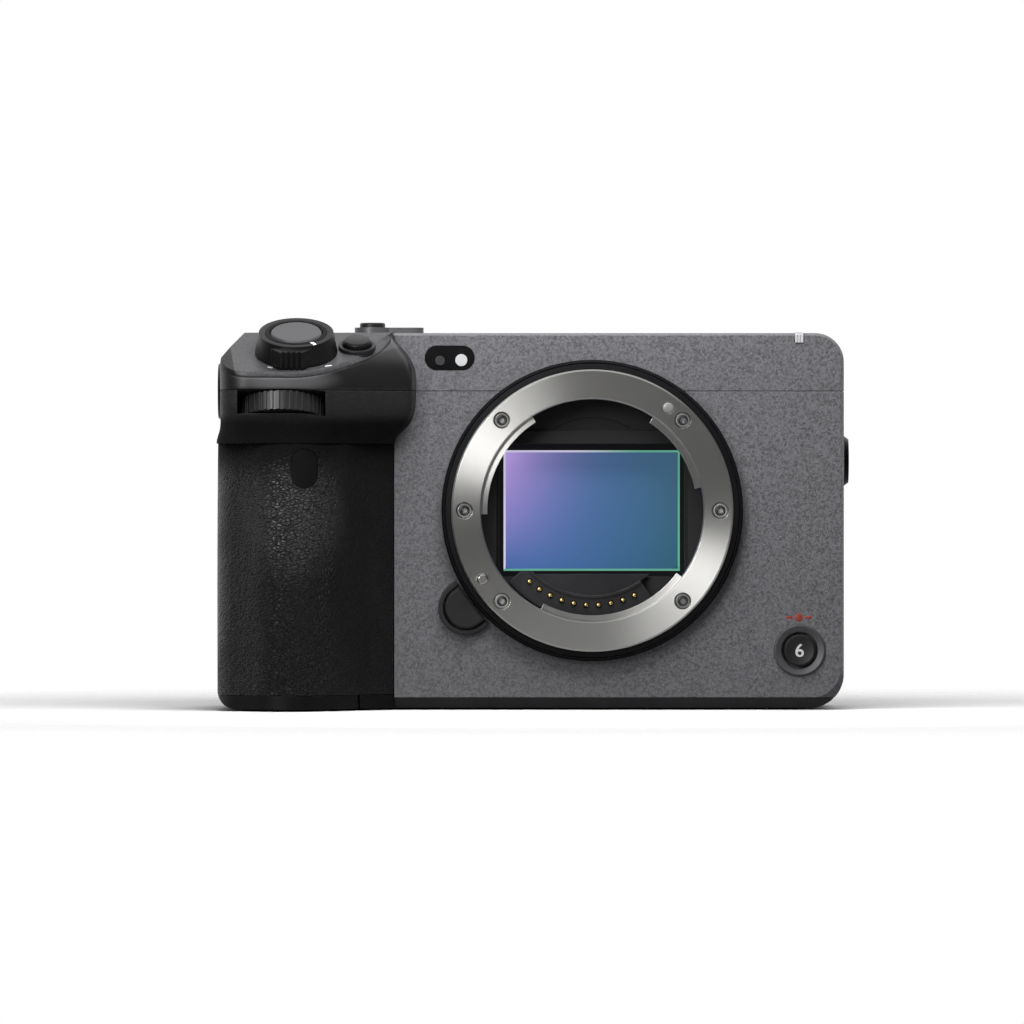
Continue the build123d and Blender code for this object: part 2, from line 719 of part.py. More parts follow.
def zoom_lever():
    """The ring lever round the shutter button, with its ribbed finger tab."""
    low = GAP
    base = deck_plane(ZOOM_X, ZOOM_Y, low)
    rim = deck_plane(ZOOM_X, ZOOM_Y, low + ZOOM_HEIGHT)
    body = loft([base * Circle(ZOOM_RADIUS), rim * Circle(ZOOM_RADIUS - 0.8)], ruled=True)
    reach = ZOOM_RADIUS + ZOOM_TAB_REACH
    root = ZOOM_RADIUS - 1.2
    outline = Polyline((-4.2, -root), (-2.4, -reach), (2.4, -reach), (4.2, -root), close=True)
    body += extrude(base * Pos(-0.8, 0) * make_face(outline), ZOOM_HEIGHT - 0.5)
    for index in range(4):
        groove = Pos(-0.8 + (index - 1.5) * 1.1, -reach) * Rectangle(0.45, 0.9)
        body -= extrude(base * groove, ZOOM_HEIGHT)
    body -= on_deck(ZOOM_X, ZOOM_Y, Circle(SHUTTER_BUTTON_RADIUS + GAP), 1.4, 9)
    body += on_deck(ZOOM_X, ZOOM_Y, Circle(3.0), -2.6, low + 0.1)
    return body - on_deck(ZOOM_X, ZOOM_Y, Circle(1.2 + GAP), -3, 9)


def shutter_button():
    """The dished button in the middle of the zoom lever, with its stem."""
    cap = on_deck(ZOOM_X, ZOOM_Y, Circle(SHUTTER_BUTTON_RADIUS), 2.5, ZOOM_HEIGHT + GAP + 0.2)
    cap = chamfer(cap.edges().sort_by(Axis.Z)[-1:], 0.35)
    return cap + on_deck(ZOOM_X, ZOOM_Y, Circle(1.2), -3.1, 2.6)


def deck_button():
    """The small round button beside the zoom lever."""
    cap = on_deck(DECK_BUTTON_X, DECK_BUTTON_Y, Circle(DECK_BUTTON_RADIUS), -1.4, 1.9)
    return chamfer(cap.edges().sort_by(Axis.Z)[-1:], 0.3)


def ribbed_disc(radius, depth, count, share=0.5):
    """A flat outline with square ribs round its rim, as a dial's edge has."""
    outline = Circle(radius)
    width = 2 * pi * radius / count * share
    cutter = Rectangle(2 * depth, width)
    notches = [Rot(0, 0, 360 * i / count) * Pos(radius, 0) * cutter for i in range(count)]
    return outline - notches


def front_dial():
    """The ribbed dial that the index finger turns."""
    half = DIAL_WIDTH / 2
    wheel = extrude(dial_plane(-half) * ribbed_disc(DIAL_RADIUS, 0.45, DIAL_RIBS), DIAL_WIDTH)
    return wheel - extrude(dial_plane(-half - 1) * Circle(2.0 + FIT), DIAL_WIDTH + 2)


def front_dial_pin():
    """The pin moulded in the shelf that the front dial turns on."""
    half = DIAL_WIDTH / 2 + 0.35
    return extrude(dial_plane(-half) * Circle(2.0), 2 * half)


def lens_mount_ring():
    """The steel bayonet ring with its three claws, screw holes, pin hole and index dot."""
    ring = turned([
        (THROAT_RADIUS, RING_BACK),
        (RING_RADIUS, RING_BACK),
        (RING_RADIUS, FLANGE + 0.35),
        (RING_RADIUS - 0.35, FLANGE),
        (THROAT_RADIUS + 0.25, FLANGE),
        (THROAT_RADIUS, FLANGE + 0.25),
    ])
    claw_front = FLANGE + CLAW_RECESS
    for start, end in CLAW_ARCS:
        claw = sector(CLAW_RADIUS, THROAT_RADIUS + 0.2, start, end)
        ring += slab(claw, claw_front, claw_front + CLAW_DEPTH)
    for angle in MOUNT_SCREW_ANGLES:
        x, z = around_axis(MOUNT_SCREW_CIRCLE, angle)
        ring -= bar_y(x, z, MOUNT_SCREW_HEAD + 0.1, FLANGE - 1, FLANGE + 1.3)
        ring -= bar_y(x, z, 1.0 + FIT, FLANGE, RING_BACK + 1)
    x, z = around_axis(LOCK_PIN_CIRCLE, LOCK_PIN_ANGLE)
    ring -= bar_y(x, z, LOCK_PIN_RADIUS + FIT, FLANGE - 1, RING_BACK + 1)
    return ring - index_dot(0.02)


def index_dot(grow=0.0):
    """The lens alignment dot let into the ring."""
    x, z = around_axis(INDEX_CIRCLE, INDEX_ANGLE)
    return bar_y(x, z, 1.2 + grow, FLANGE - 5 * grow, FLANGE + 0.5)


def mount_trim_ring():
    """The black ring round the mount, with a turned groove."""
    inner = RING_RADIUS + 0.1
    outer = RING_RADIUS + TRIM_WIDTH + 0.1
    return turned([
        (inner, FACE),
        (outer, FACE),
        (outer, FLANGE + 1.5),
        (outer - 0.45, FLANGE + 1.0),
        (outer - 0.6, FLANGE + 1.0),
        (outer - 0.7, FLANGE + 1.3),
        (outer - 0.85, FLANGE + 0.8),
        (inner, FLANGE + 0.6),
    ])


def mount_screws():
    """The six screws that hold the lens mount ring."""
    screws = []
    for angle in MOUNT_SCREW_ANGLES:
        x, z = around_axis(MOUNT_SCREW_CIRCLE, angle)
        head = bar_y(x, z, MOUNT_SCREW_HEAD, FLANGE + 0.25, FLANGE + 1.3)
        head = chamfer(head.faces().sort_by(Axis.Y)[0].edges(), 0.3)
        head -= slab(Pos(x, z) * Rot(0, 0, angle + 20) * cross(1.9), FLANGE, FLANGE + 0.8)
        screws.append(head + bar_y(x, z, 1.0, FLANGE + 1.2, RING_BACK + 4.5))
    return screws


def cross(size):
    """The outline of a screwdriver's cross."""
    return Rectangle(size, 0.26 * size) + Rectangle(0.26 * size, size) + Circle(0.24 * size)


def chassis():
    """The cast frame: a plate with the mount's boss in front and posts behind."""
    plate = block(GRIP_RIGHT + CLEAR, CAVITY_RIGHT - CLEAR, CHASSIS_FRONT, CHASSIS_BACK,
                  BOTTOM_COVER_HEIGHT + 1, CAVITY_TOP - 1)
    plate &= slab(body_profile(WALL + CLEAR, BOTTOM_COVER_HEIGHT, WALL + CLEAR), FACE, REAR)
    boss = bar_y(0, AXIS_HEIGHT, RING_RADIUS - 0.1, RING_BACK, CHASSIS_FRONT + 0.1)
    piece = plate + boss
    piece -= bar_y(0, AXIS_HEIGHT, THROAT_RADIUS + 1.2, RING_BACK - 1, CHASSIS_BACK + 1)
    for angle in MOUNT_SCREW_ANGLES:
        x, z = around_axis(MOUNT_SCREW_CIRCLE, angle)
        piece -= bar_y(x, z, 1.0 + FIT, RING_BACK - 1, RING_BACK + 4.7)
    x, z = around_axis(LOCK_PIN_CIRCLE, LOCK_PIN_ANGLE)
    piece -= bar_y(x, z, LOCK_PIN_RADIUS + GAP, RING_BACK - 1, CHASSIS_BACK + 1)
    piece -= slab(release_profile(RELEASE_RADIUS, GAP), FACE, CHASSIS_BACK + 1)
    piece -= bar_y(RECORD_X, RECORD_Z, RECORD_RADIUS + 0.45, FACE, CHASSIS_FRONT + 1.2)
    for x in (-36.5, 36.5):
        for z in (AXIS_HEIGHT - 25.5, AXIS_HEIGHT + 25.5):
            piece += bar_y(x, z, 2.5, CHASSIS_BACK - 0.5, BASE_PLATE_FRONT)
    return piece


def light_chamber():
    """The black liner of the throat, with the arched baffle over the sensor opening."""
    back = CHASSIS_BACK
    front = RING_BACK + 0.7
    piece = bar_y(0, AXIS_HEIGHT, THROAT_RADIUS + 1.1, front, back)
    piece -= bar_y(0, AXIS_HEIGHT, THROAT_RADIUS - 0.1, front - 1, back - 1.2)
    window = Pos(0, AXIS_HEIGHT) * Rectangle(SENSOR_WIDTH + 3.0, SENSOR_HEIGHT + 2.6)
    piece -= slab(window, back - 1.3, back + 1)
    high = AXIS_HEIGHT + 16.6
    upper = Pos(0, high + 10) * Rectangle(60, 20)
    upper &= Pos(0, AXIS_HEIGHT) * Circle(THROAT_RADIUS - 0.1)
    piece -= slab(upper, back - 1.21, back - 0.7)
    arch = Pos(0, high - 12.6) * Circle(15.3)
    arch &= Pos(0, high + 10.3) * Rectangle(60, 20)
    return piece - slab(arch, back - 1, back - 0.35)


def contact_block():
    """The arc-shaped block that carries the lens contacts at the foot of the throat."""
    start, end = CONTACT_BLOCK_ARC
    front = RING_BACK + 1.5
    back = CHASSIS_BACK - 1.2
    piece = slab(sector(CONTACT_BLOCK_INNER, THROAT_RADIUS - 0.3, start, end), front, back)
    lip = sector(CONTACT_BLOCK_INNER - 0.1, CONTACT_BLOCK_INNER + 0.5, start, end)
    piece += slab(lip, front - 0.3, back)
    below = Pos(0, AXIS_HEIGHT - SENSOR_HEIGHT / 2 - 10.6) * Rectangle(40, 20)
    web = (Pos(0, AXIS_HEIGHT) * Circle(CONTACT_BLOCK_INNER)) & below
    piece += slab(web, front + 0.9, back)
    under_window = AXIS_HEIGHT - SENSOR_HEIGHT / 2 - 0.15
    piece &= block(-THROAT_RADIUS, THROAT_RADIUS, front - 1, back, 0, under_window)
    for angle in contact_angles():
        x, z = around_axis(CONTACT_CIRCLE, angle)
        piece -= bar_y(x, z, CONTACT_RADIUS + 0.1, front - 1, back - 0.3)
    return piece


def contact_angles():
    """The angles of the contact pins about the lens axis."""
    return [CONTACT_FIRST + CONTACT_STEP * index for index in range(CONTACT_COUNT)]


def contact_pins():
    """The gilt spring pins, with rounded tips, that give together as a lens goes on."""
    front = RING_BACK + 0.8
    back = CHASSIS_BACK - 1.5 - CONTACT_TRAVEL - 0.1
    pins = []
    for angle in contact_angles():
        x, z = around_axis(CONTACT_CIRCLE, angle)
        pin = bar_y(x, z, CONTACT_RADIUS, front, back)
        pins.append(fillet(pin.faces().sort_by(Axis.Y)[0].edges(), 0.8 * CONTACT_RADIUS))
    return group(pins)


def shutter_low():
    """The lower edge of the parked shutter blades."""
    return AXIS_HEIGHT - (SENSOR_HEIGHT + 2.3) / 2 - 0.7 - BLADE_HEIGHT


def shutter_frame():
    """The shutter's two window plates and the rails between them."""
    half = THROAT_RADIUS + 4
    low = shutter_low() - 1.5
    high = shutter_low() + BLADE_HEIGHT + BLADE_TRAVEL + 2.0
    window = Pos(0, AXIS_HEIGHT) * Rectangle(SENSOR_WIDTH + 1.7, SENSOR_HEIGHT + 2.3)
    piece = block(-half, half, SHUTTER_FRONT, SHUTTER_BACK, low, high)
    piece -= slab(window, SHUTTER_FRONT - 1, SHUTTER_BACK + 1)
    return piece - block(-half + 3.5, half - 3.5, SHUTTER_FRONT + 0.6, SHUTTER_BACK - 0.6,
                         low + 1, high - 1)


def shutter_blade(index):
    """One blade of the shutter, parked below the window on its own track."""
    half = THROAT_RADIUS + 0.2
    low = shutter_low()
    front = SHUTTER_FRONT + 0.95 + 0.8 * index
    return block(-half, half, front, front + 0.35, low, low + BLADE_HEIGHT)


def sensor_stack():
    """The cover glass with clipped corners, on the imager's package."""
    glass = chamfer(Rectangle(SENSOR_WIDTH, SENSOR_HEIGHT).vertices(), 1.0)
    front = slab(Pos(0, AXIS_HEIGHT) * glass, -3.2, -2.2)
    front = chamfer(front.faces().sort_by(Axis.Y)[0].edges(), 0.35)
    package = Pos(0, AXIS_HEIGHT) * Rectangle(SENSOR_WIDTH + 4, SENSOR_HEIGHT + 6)
    return front + slab(package, -2.2, 1.0)


def sensor_carrier():
    """The frame round the imager, with wings for its coils."""
    outline = Rectangle(54, 42) + Pos(0, -12) * Rectangle(64, 14)
    opening = Rectangle(SENSOR_WIDTH + 4, SENSOR_HEIGHT + 6)
    return slab(Pos(0, AXIS_HEIGHT) * (outline - opening), -1.6, 1.0)


def shift_frame():
    """The middle frame of the sensor's shift stage, which moves from side to side."""
    outline = RectangleRounded(62, 50, 3.0) - Rectangle(46, 34)
    return slab(Pos(0, AXIS_HEIGHT) * outline, 1.6, 3.4)


def sensor_base_plate():
    """The fixed yoke of the shift stage, screwed to the chassis posts."""
    outline = RectangleRounded(80, 62, 4.0) - Rectangle(30, 20)
    return slab(Pos(0, AXIS_HEIGHT) * outline, BASE_PLATE_FRONT, BASE_PLATE_BACK)


def heat_sink():
    """The finned plate that draws the sensor's heat back to the fan."""
    base = slab(Pos(2, AXIS_HEIGHT) * Rectangle(56, 48), BASE_PLATE_BACK + 1.9, BASE_PLATE_BACK + 3.4)
    for index in range(9):
        x = 2 + (index - 4) * 6.6
        base += block(x - 0.5, x + 0.5, BASE_PLATE_BACK + 3.3, 14.5, AXIS_HEIGHT - 24, AXIS_HEIGHT + 24)
    for x in (-22, 26):
        for z in (AXIS_HEIGHT - 20, AXIS_HEIGHT + 20):
            base += bar_y(x, z, 2.0, BASE_PLATE_BACK, BASE_PLATE_BACK + 2)
    return base


def fan_housing():
    """The square fan frame, with the hub's spider at the back and four feet."""
    half = FAN_RADIUS + 4
    piece = slab(Pos(FAN_X, AXIS_HEIGHT) * RectangleRounded(2 * half, 2 * half, 3.0), FAN_FRONT, FAN_BACK)
    piece -= bar_y(FAN_X, AXIS_HEIGHT, FAN_RADIUS + 1.0, FAN_FRONT - 1, FAN_BACK + 1)
    for turn in (0, 90):
        spoke = Pos(FAN_X, AXIS_HEIGHT) * Rot(0, 0, turn + 45) * Rectangle(2 * FAN_RADIUS + 3, 1.6)
        piece += slab(spoke, FAN_BACK - 1.0, FAN_BACK)
    piece += bar_y(FAN_X, AXIS_HEIGHT, 5.0, FAN_BACK - 1.0, FAN_BACK)
    piece += bar_y(FAN_X, AXIS_HEIGHT, 1.0, FAN_FRONT + 1.5, FAN_BACK)
    for x in (FAN_X - half + 2.5, FAN_X + half - 2.5):
        for z in (AXIS_HEIGHT - half + 2.5, AXIS_HEIGHT + half - 2.5):
            piece += bar_y(x, z, 1.8, FAN_BACK - 0.1, BOARD_FRONT)
    return piece


def fan_rotor():
    """The fan's hub and its slanted blades."""
    hub = bar_y(FAN_X, AXIS_HEIGHT, 6.0, FAN_FRONT + 0.4, FAN_BACK - 1.6)
    hub -= bar_y(FAN_X, AXIS_HEIGHT, 1.0 + FIT, FAN_FRONT, FAN_BACK)
    for index in range(FAN_BLADES):
        spin = Pos(FAN_X, 0, AXIS_HEIGHT) * Rot(0, 360 * index / FAN_BLADES, 0)
        lean = Pos(0, (FAN_FRONT + FAN_BACK) / 2 - 0.6, 10.6) * Rot(0, 0, 55)
        hub += spin * lean * Box(0.7, 4.6, 10.0)
    return hub


def main_board():
    """The circuit board, with its processor and memory on the front."""
    low = BOTTOM_COVER_HEIGHT + 6.0
    middle = Pos((GRIP_RIGHT + CAVITY_RIGHT) / 2, (low + SEAM_Z) / 2)
    outline = middle * Rectangle(CAVITY_RIGHT - GRIP_RIGHT - 3, SEAM_Z - low)
    piece = slab(outline, BOARD_FRONT, BOARD_BACK)
    for x, z, size in ((-20, 6, 13), (-24, -14, 9), (38, 12, 8), (38, -8, 8)):
        chip = Pos(x, AXIS_HEIGHT + z) * Rectangle(size, size)
        piece += slab(chip, BOARD_FRONT - 1.2, BOARD_FRONT + 0.1)
    return piece


def release_bezel():
    """The raised surround of the lens release."""
    rim = release_profile(RELEASE_RADIUS, 1.2) - release_profile(RELEASE_RADIUS, 0.25)
    rim -= Pos(0, AXIS_HEIGHT) * Circle(RING_RADIUS + TRIM_WIDTH + 0.1 + FIT)
    return slab(rim, FACE - 1.6, CHASSIS_FRONT)


def record_bezel():
    """The dished surround of the record button."""
    hole = RECORD_RADIUS + 0.45
    bezel = turned([
        (hole, FACE),
        (RECORD_RADIUS + 2.05, FACE),
        (RECORD_RADIUS + 2.05, FACE - 0.35),
        (RECORD_RADIUS + 1.75, FACE - 0.6),
        (hole, FACE - 0.15),
    ], RECORD_X, RECORD_Z)
    return bezel


def button_bezels():
    """The dark surrounds of the lens release and the record button."""
    return group([release_bezel(), record_bezel()])


def lens_release_button():
    """The D-shaped button that draws the lock pin back."""
    profile = release_profile(RELEASE_RADIUS)
    cap = slab(profile, FACE - 2.9, FACE - 0.2)
    return chamfer(cap.faces().sort_by(Axis.Y)[0].edges(), 0.4)


def lock_pin():
    """The pin that locks the lens, through the ring."""
    x, z = around_axis(LOCK_PIN_CIRCLE, LOCK_PIN_ANGLE)
    pin = bar_y(x, z, LOCK_PIN_RADIUS, FLANGE - 1.0, CHASSIS_FRONT - 0.2)
    return chamfer(pin.faces().sort_by(Axis.Y)[0].edges(), 0.3)


def front_record_button():
    """The round record button at the foot of the front, with a dished face."""
    front = FACE - 1.0
    cap = bar_y(RECORD_X, RECORD_Z, RECORD_RADIUS, front, FACE + 1.8)
    cap = chamfer(cap.faces().sort_by(Axis.Y)[0].edges(), 0.3)
    return cap - Pos(RECORD_X, front - DISH_RADIUS + DISH_DEPTH, RECORD_Z) * Sphere(DISH_RADIUS)


def power_place():
    """The x and y of the power lever's axis."""
    return GRIP_RIGHT - 4.7, 8.0


def power_lever():
    """The power switch: a disc with an arm, round the top button."""
    x, y = power_place()
    disc = Pos(x, y) * Circle(3.75)
    arm = Pos(x + 6.2, y) * SlotOverall(9.0, 3.2)
    piece = plate_z(disc + arm, TOP + 0.2, TOP + 1.5)
    piece += bar_z(x, y, 2.0, TOP - 1.9, TOP + 0.3)
    piece -= bar_z(x, y, 1.2 + GAP, TOP - 3, TOP + 3)
    return piece - bar_z(x, y, 2.65 + GAP, TOP + 0.6, TOP + 3)


def power_button():
    """The round button in the middle of the power lever."""
    x, y = power_place()
    cap = bar_z(x, y, 2.65, TOP + 1.4, TOP + 2.5)
    cap = chamfer(cap.faces().sort_by(Axis.Z)[-1].edges(), 0.25)
    return cap + bar_z(x, y, 1.2, TOP - 1.9, TOP + 1.5)


def rear_dial_centre():
    """The x, y and middle height of the thumb dial."""
    return GRIP_LEFT + 15.5, REAR - REAR_DIAL_RADIUS + 1.0, SEAM_Z + 4.0


def rear_dial_pocket():
    """The slot that the thumb dial turns in."""
    x, y, z = rear_dial_centre()
    pocket = bar_z(x, y, REAR_DIAL_RADIUS + 0.4, z - 2.3, z + 2.3)
    return pocket + block(x - 8, x + 8, REAR - 4, REAR + 8, z - 2.3, z + 2.3)


def rear_dial():
    """The ribbed dial that the thumb turns."""
    x, y, z = rear_dial_centre()
    outline = Pos(x, y) * ribbed_disc(REAR_DIAL_RADIUS, 0.45, 36)
    return plate_z(outline, z - 1.95, z + 1.95) - bar_z(x, y, 2.0 + FIT, z - 3, z + 3)


def rear_dial_pin():
    """The pin moulded in the top cover that the thumb dial turns on."""
    x, y, z = rear_dial_centre()
    return bar_z(x, y, 2.0, z - 2.3, z + 2.3)


def control_wheel():
    """The ribbed wheel round the select button."""
    x, z = wheel_place()
    profile = ribbed_disc(WHEEL_RADIUS, 0.4, WHEEL_RIBS) - Circle(5.4)
    piece = slab(Pos(x, z) * profile, REAR - 0.9, REAR + 1.4)
    return piece + slab(Pos(x, z) * (Circle(6.6) - Circle(5.4)), REAR - 1.15, REAR - 0.8)


def select_button():
    """The button in the middle of the control wheel."""
    x, z = wheel_place()
    cap = bar_y(x, z, 5.2, REAR - 0.6, REAR + 1.7)
    cap = chamfer(cap.faces().sort_by(Axis.Y)[-1].edges(), 0.3)
    return cap + bar_y(x, z, 3.0, REAR - 2.6, REAR - 0.5)


def joystick_gimbal():
    """The ring that lets the joystick tip up and down, with a pivot pin on each side."""
    x, z = joystick_place()
    pins = bar_x(STICK_PIVOT_Y, z, STICK_PIN, x - 5.5, x + 5.5)
    ring = tube_y(x, z, 4.2, 2.9, REAR - 3.0, REAR - 1.9) + pins
    ring -= bar_y(x, z, 2.9, REAR - 4, REAR)
    return ring - bar_z(x, STICK_PIVOT_Y, STICK_PIN + FIT, z - 4, z + 4)


def joystick():
    """The small stick, with a cupped and ridged cap on a stem."""
    x, z = joystick_place()
    stem = bar_y(x, z, 1.6, REAR - 3.0, REAR + 1.0) + bar_y(x, z, 2.3, REAR - 3.0, REAR - 1.9)
    stem += bar_z(x, STICK_PIVOT_Y, STICK_PIN, z - 3.8, z + 3.8)
    cap = bar_y(x, z, 3.4, REAR + 0.9, REAR + 2.4) - bar_y(x, z, 2.2, REAR + 2.0, REAR + 3)
    return stem + cap


def rear_button(index):
    """One of the small round buttons beside the monitor."""
    x, z = rear_button_places()[index]
    cap = bar_y(x, z, 2.9, REAR - 0.9, REAR + 0.6)
    return chamfer(cap.faces().sort_by(Axis.Y)[-1].edges(), 0.25)


def monitor_hinge():
    """The bracket on the back with the two pins that the monitor's arm swings on."""
    lugs = []
    lug_height = 3.4
    for low, inner in ((ARM_LOW - CLEAR - lug_height, ARM_LOW + 3), (ARM_HIGH + CLEAR, ARM_HIGH - 3)):
        high = low + lug_height
        lug = bar_z(HINGE_X, HINGE_Y, HINGE_RADIUS, low, high)
        lug += block(HINGE_X - HINGE_RADIUS, HINGE_X + HINGE_RADIUS - 0.8, REAR, HINGE_Y, low, high)
        pin = bar_z(HINGE_X, HINGE_Y, HINGE_PIN, min(low + 1, inner), max(low + 1, inner))
        lugs.append(lug + pin)
    return group(lugs)


def monitor_arm():
    """The upright hinge barrel and the arm that reaches to the monitor."""
    piece = bar_z(HINGE_X, HINGE_Y, HINGE_RADIUS, ARM_LOW, ARM_HIGH)
    piece += block(HINGE_X - 3.4, HINGE_X, HINGE_Y - 1.8, HINGE_Y + 1.8, ARM_LOW + 3, ARM_HIGH - 3)
    piece -= bar_z(HINGE_X, HINGE_Y, HINGE_PIN + FIT, ARM_LOW - 1, ARM_LOW + 3.2)
    return piece - bar_z(HINGE_X, HINGE_Y, HINGE_PIN + FIT, ARM_HIGH - 3.2, ARM_HIGH + 1)


def monitor_profile(inset=0.0):
    """The monitor's outline, drawn in by an inset."""
    x = HINGE_X - 3.4 - MONITOR_WIDTH / 2
    z = AXIS_HEIGHT - 5.0
    size = (MONITOR_WIDTH - 2 * inset, MONITOR_HEIGHT - 2 * inset)
    return Pos(x, z) * RectangleRounded(size[0], size[1], 3.0 - inset / 2)


def monitor_shell():
    """The monitor's case, with a recess for the screen."""
    front = REAR + 0.6
    case = slab(monitor_profile(), front, front + MONITOR_THICKNESS)
    case = chamfer(case.faces().sort_by(Axis.Y)[0].edges(), 0.8)
    case = chamfer(case.faces().sort_by(Axis.Y)[-1].edges(), 0.3)
    return case - slab(monitor_profile(1.0), front + MONITOR_THICKNESS - 1.0, REAR + 12)


def monitor_screen():
    """The touch screen's glass."""
    back = REAR + 0.6 + MONITOR_THICKNESS
    return slab(monitor_profile(1.1), back - 1.0, back - 0.15)


def hinged_plate(thickness, width, length):
    """A door lying in x, its outer face at -y, hinged on the z axis, with a fingernail groove."""
    edge = Cylinder(thickness / 2, length)
    groove = Pos(width - 1.6, -thickness / 2, 0) * Cylinder(0.4, 0.3 * length)
    return edge + Pos(width / 2, 0, 0) * Box(width, thickness, length) - groove


def battery_door():
    """The door under the handle, hinged along its inner edge."""
    left, right, front, back = battery_door_span()
    radius = DOOR_THICKNESS / 2
    place = Pos(right - radius, (front + back) / 2, radius) * Rot(90, 0, 180)
    plate = place * hinged_plate(DOOR_THICKNESS, right - left - radius, back - front)
    return plate - latch_slot()


def latch_slot():
    """The slot that the battery door's latch slides in, towards the hinge."""
    left, _, front, back = battery_door_span()
    return block(left + LATCH_INSET - GAP, left + LATCH_INSET + LATCH_WIDTH + LATCH_TRAVEL + GAP,
                 (front + back - LATCH_LENGTH) / 2 - GAP, (front + back + LATCH_LENGTH) / 2 + GAP,
                 -1, DOOR_THICKNESS - 0.5)


def battery_door_latch():
    """The sliding catch of the battery door, with a ribbed thumb face."""
    left, _, front, back = battery_door_span()
    low = (front + back - LATCH_LENGTH) / 2
    piece = block(left + LATCH_INSET, left + LATCH_INSET + LATCH_WIDTH, low, low + LATCH_LENGTH,
                  0.1, DOOR_THICKNESS - 0.6)
    for index in range(3):
        x = left + LATCH_INSET + LATCH_WIDTH * (index + 1) / 4
        piece -= block(x - 0.25, x + 0.25, low + 1, low + LATCH_LENGTH - 1, 0, 0.35)
    return piece


def card_door():
    """The side door over the card slots, hinged along its front edge."""
    radius = DOOR_THICKNESS / 2
    place = Pos(LEFT + radius, CARD_FRONT + radius, CARD_LOW + CARD_DOOR_HEIGHT / 2) * Rot(0, 0, 90)
    return place * hinged_plate(DOOR_THICKNESS, CARD_BACK - CARD_FRONT - radius, CARD_DOOR_HEIGHT)


def port_door(index):
    """One of the side doors over the sockets, hinged along its front edge."""
    low, high = port_door_spans()[index]
    radius = DOOR_THICKNESS / 2
    place = Pos(RIGHT - radius, PORT_FRONT + radius, (low + high) / 2) * Rot(0, 0, 90)
    return place * hinged_plate(DOOR_THICKNESS, PORT_BACK - PORT_FRONT - radius, high - low)


def socket_board():
    """The side board with its sockets facing the port doors."""
    x1 = RIGHT - 2.3
    piece = block(x1 - 9.6, x1 - 8.4, PORT_FRONT + 1, PORT_BACK - 1, AXIS_HEIGHT - 30, AXIS_HEIGHT + 19)
    for z, wide, tall in ((-24, 9.0, 3.4), (-13, 12.0, 5.0)):
        y = (PORT_FRONT + PORT_BACK) / 2
        middle = AXIS_HEIGHT + z
        piece += block(x1 - 8.5, x1, y - wide / 2, y + wide / 2, middle - tall / 2, middle + tall / 2)
        wide -= 1.0
        tall -= 1.0
        piece -= block(x1 - 5, x1 + 1, y - wide / 2, y + wide / 2, middle - tall / 2, middle + tall / 2)
    for z in (2, 13):
        y = (PORT_FRONT + PORT_BACK) / 2
        piece += bar_x(y, AXIS_HEIGHT + z, 3.4, x1 - 8.5, x1)
        piece -= bar_x(y, AXIS_HEIGHT + z, 1.75, x1 - 7, x1 + 1)
    return piece


def circuit_boards():
    """The main board and the socket board."""
    return group([main_board(), socket_board()])


def card_slots():
    """The two stacked card slots in their bay."""
    front = CARD_FRONT + 0.8 + CLEAR
    back = CARD_BACK - 1.0 - CLEAR
    low = CARD_LOW + 1.4 + CLEAR
    high = CARD_LOW + CARD_DOOR_HEIGHT - 1.6 - CLEAR
    piece = block(LEFT + 4.5, LEFT + 33 - CLEAR, front, back, low, high)
    for y in (front + 4.0, back - 4.0):
        piece -= block(LEFT, LEFT + 29, y - 1.3, y + 1.3, low + 2.5, high - 2.5)
    return piece


def battery_pack():
    """The removable battery."""
    return battery_box()


def accessory_shoe():
    """The steel shoe let into the top, open to the rear."""
    floor = TOP - 4.5
    outline = Rectangle(26.0, 24.0)
    piece = plate_z(Pos(0, 20.2) * outline, floor, TOP - 0.3)
    piece -= block(-9.35, 9.35, 10.0, 40, floor + 1.0, floor + 3.1)
    return piece - block(-6.3, 6.3, 10.0, 40, floor + 1.0, TOP)


def thread_places():
    """The x and y of the three accessory threads on the top."""
    return [(RIGHT - 14, -3.4), (RIGHT - 14, 26.0), (-27.0, 26.0)]


def side_thread_places():
    """The y and z of the threads on the right and left sides."""
    return (-3.6, AXIS_HEIGHT + 10.35), (-4.0, SEAM_Z + 0.05)


def side_boss_holes():
    """The holes that the side threads' bosses pass through."""
    (right_y, right_z), (left_y, left_z) = side_thread_places()
    right = bar_x(right_y, right_z, 4.6, CAVITY_RIGHT - 1, RIGHT + 3)
    left = bar_x(left_y, left_z, 5.6, GRIP_LEFT - 2, LEFT + 8.6)
    seat = bar_x(left_y, left_z, 6.6, GRIP_LEFT - 2, SHOULDER_LEFT)
    return right + left + seat


def side_boss(outer_x, inner_x, y, z, radius, barrel, proud):
    """A flared thread bush let into one side, with a blind threaded hole."""
    direction = 1 if outer_x > inner_x else -1
    stem = bar_x(y, z, barrel, min(outer_x, inner_x), max(outer_x, inner_x))
    base = Plane(origin=(outer_x - direction * proud, y, z), x_dir=(0, 1, 0), z_dir=(direction, 0, 0))
    flare = loft([base * Circle(radius), base.offset(proud) * Circle(radius - 0.9)], ruled=True)
    hole_end = outer_x - direction * SOCKET_DEPTH
    hole = bar_x(y, z, SCREW_HOLE, min(outer_x + direction, hole_end), max(outer_x + direction, hole_end))
    return stem + flare - hole


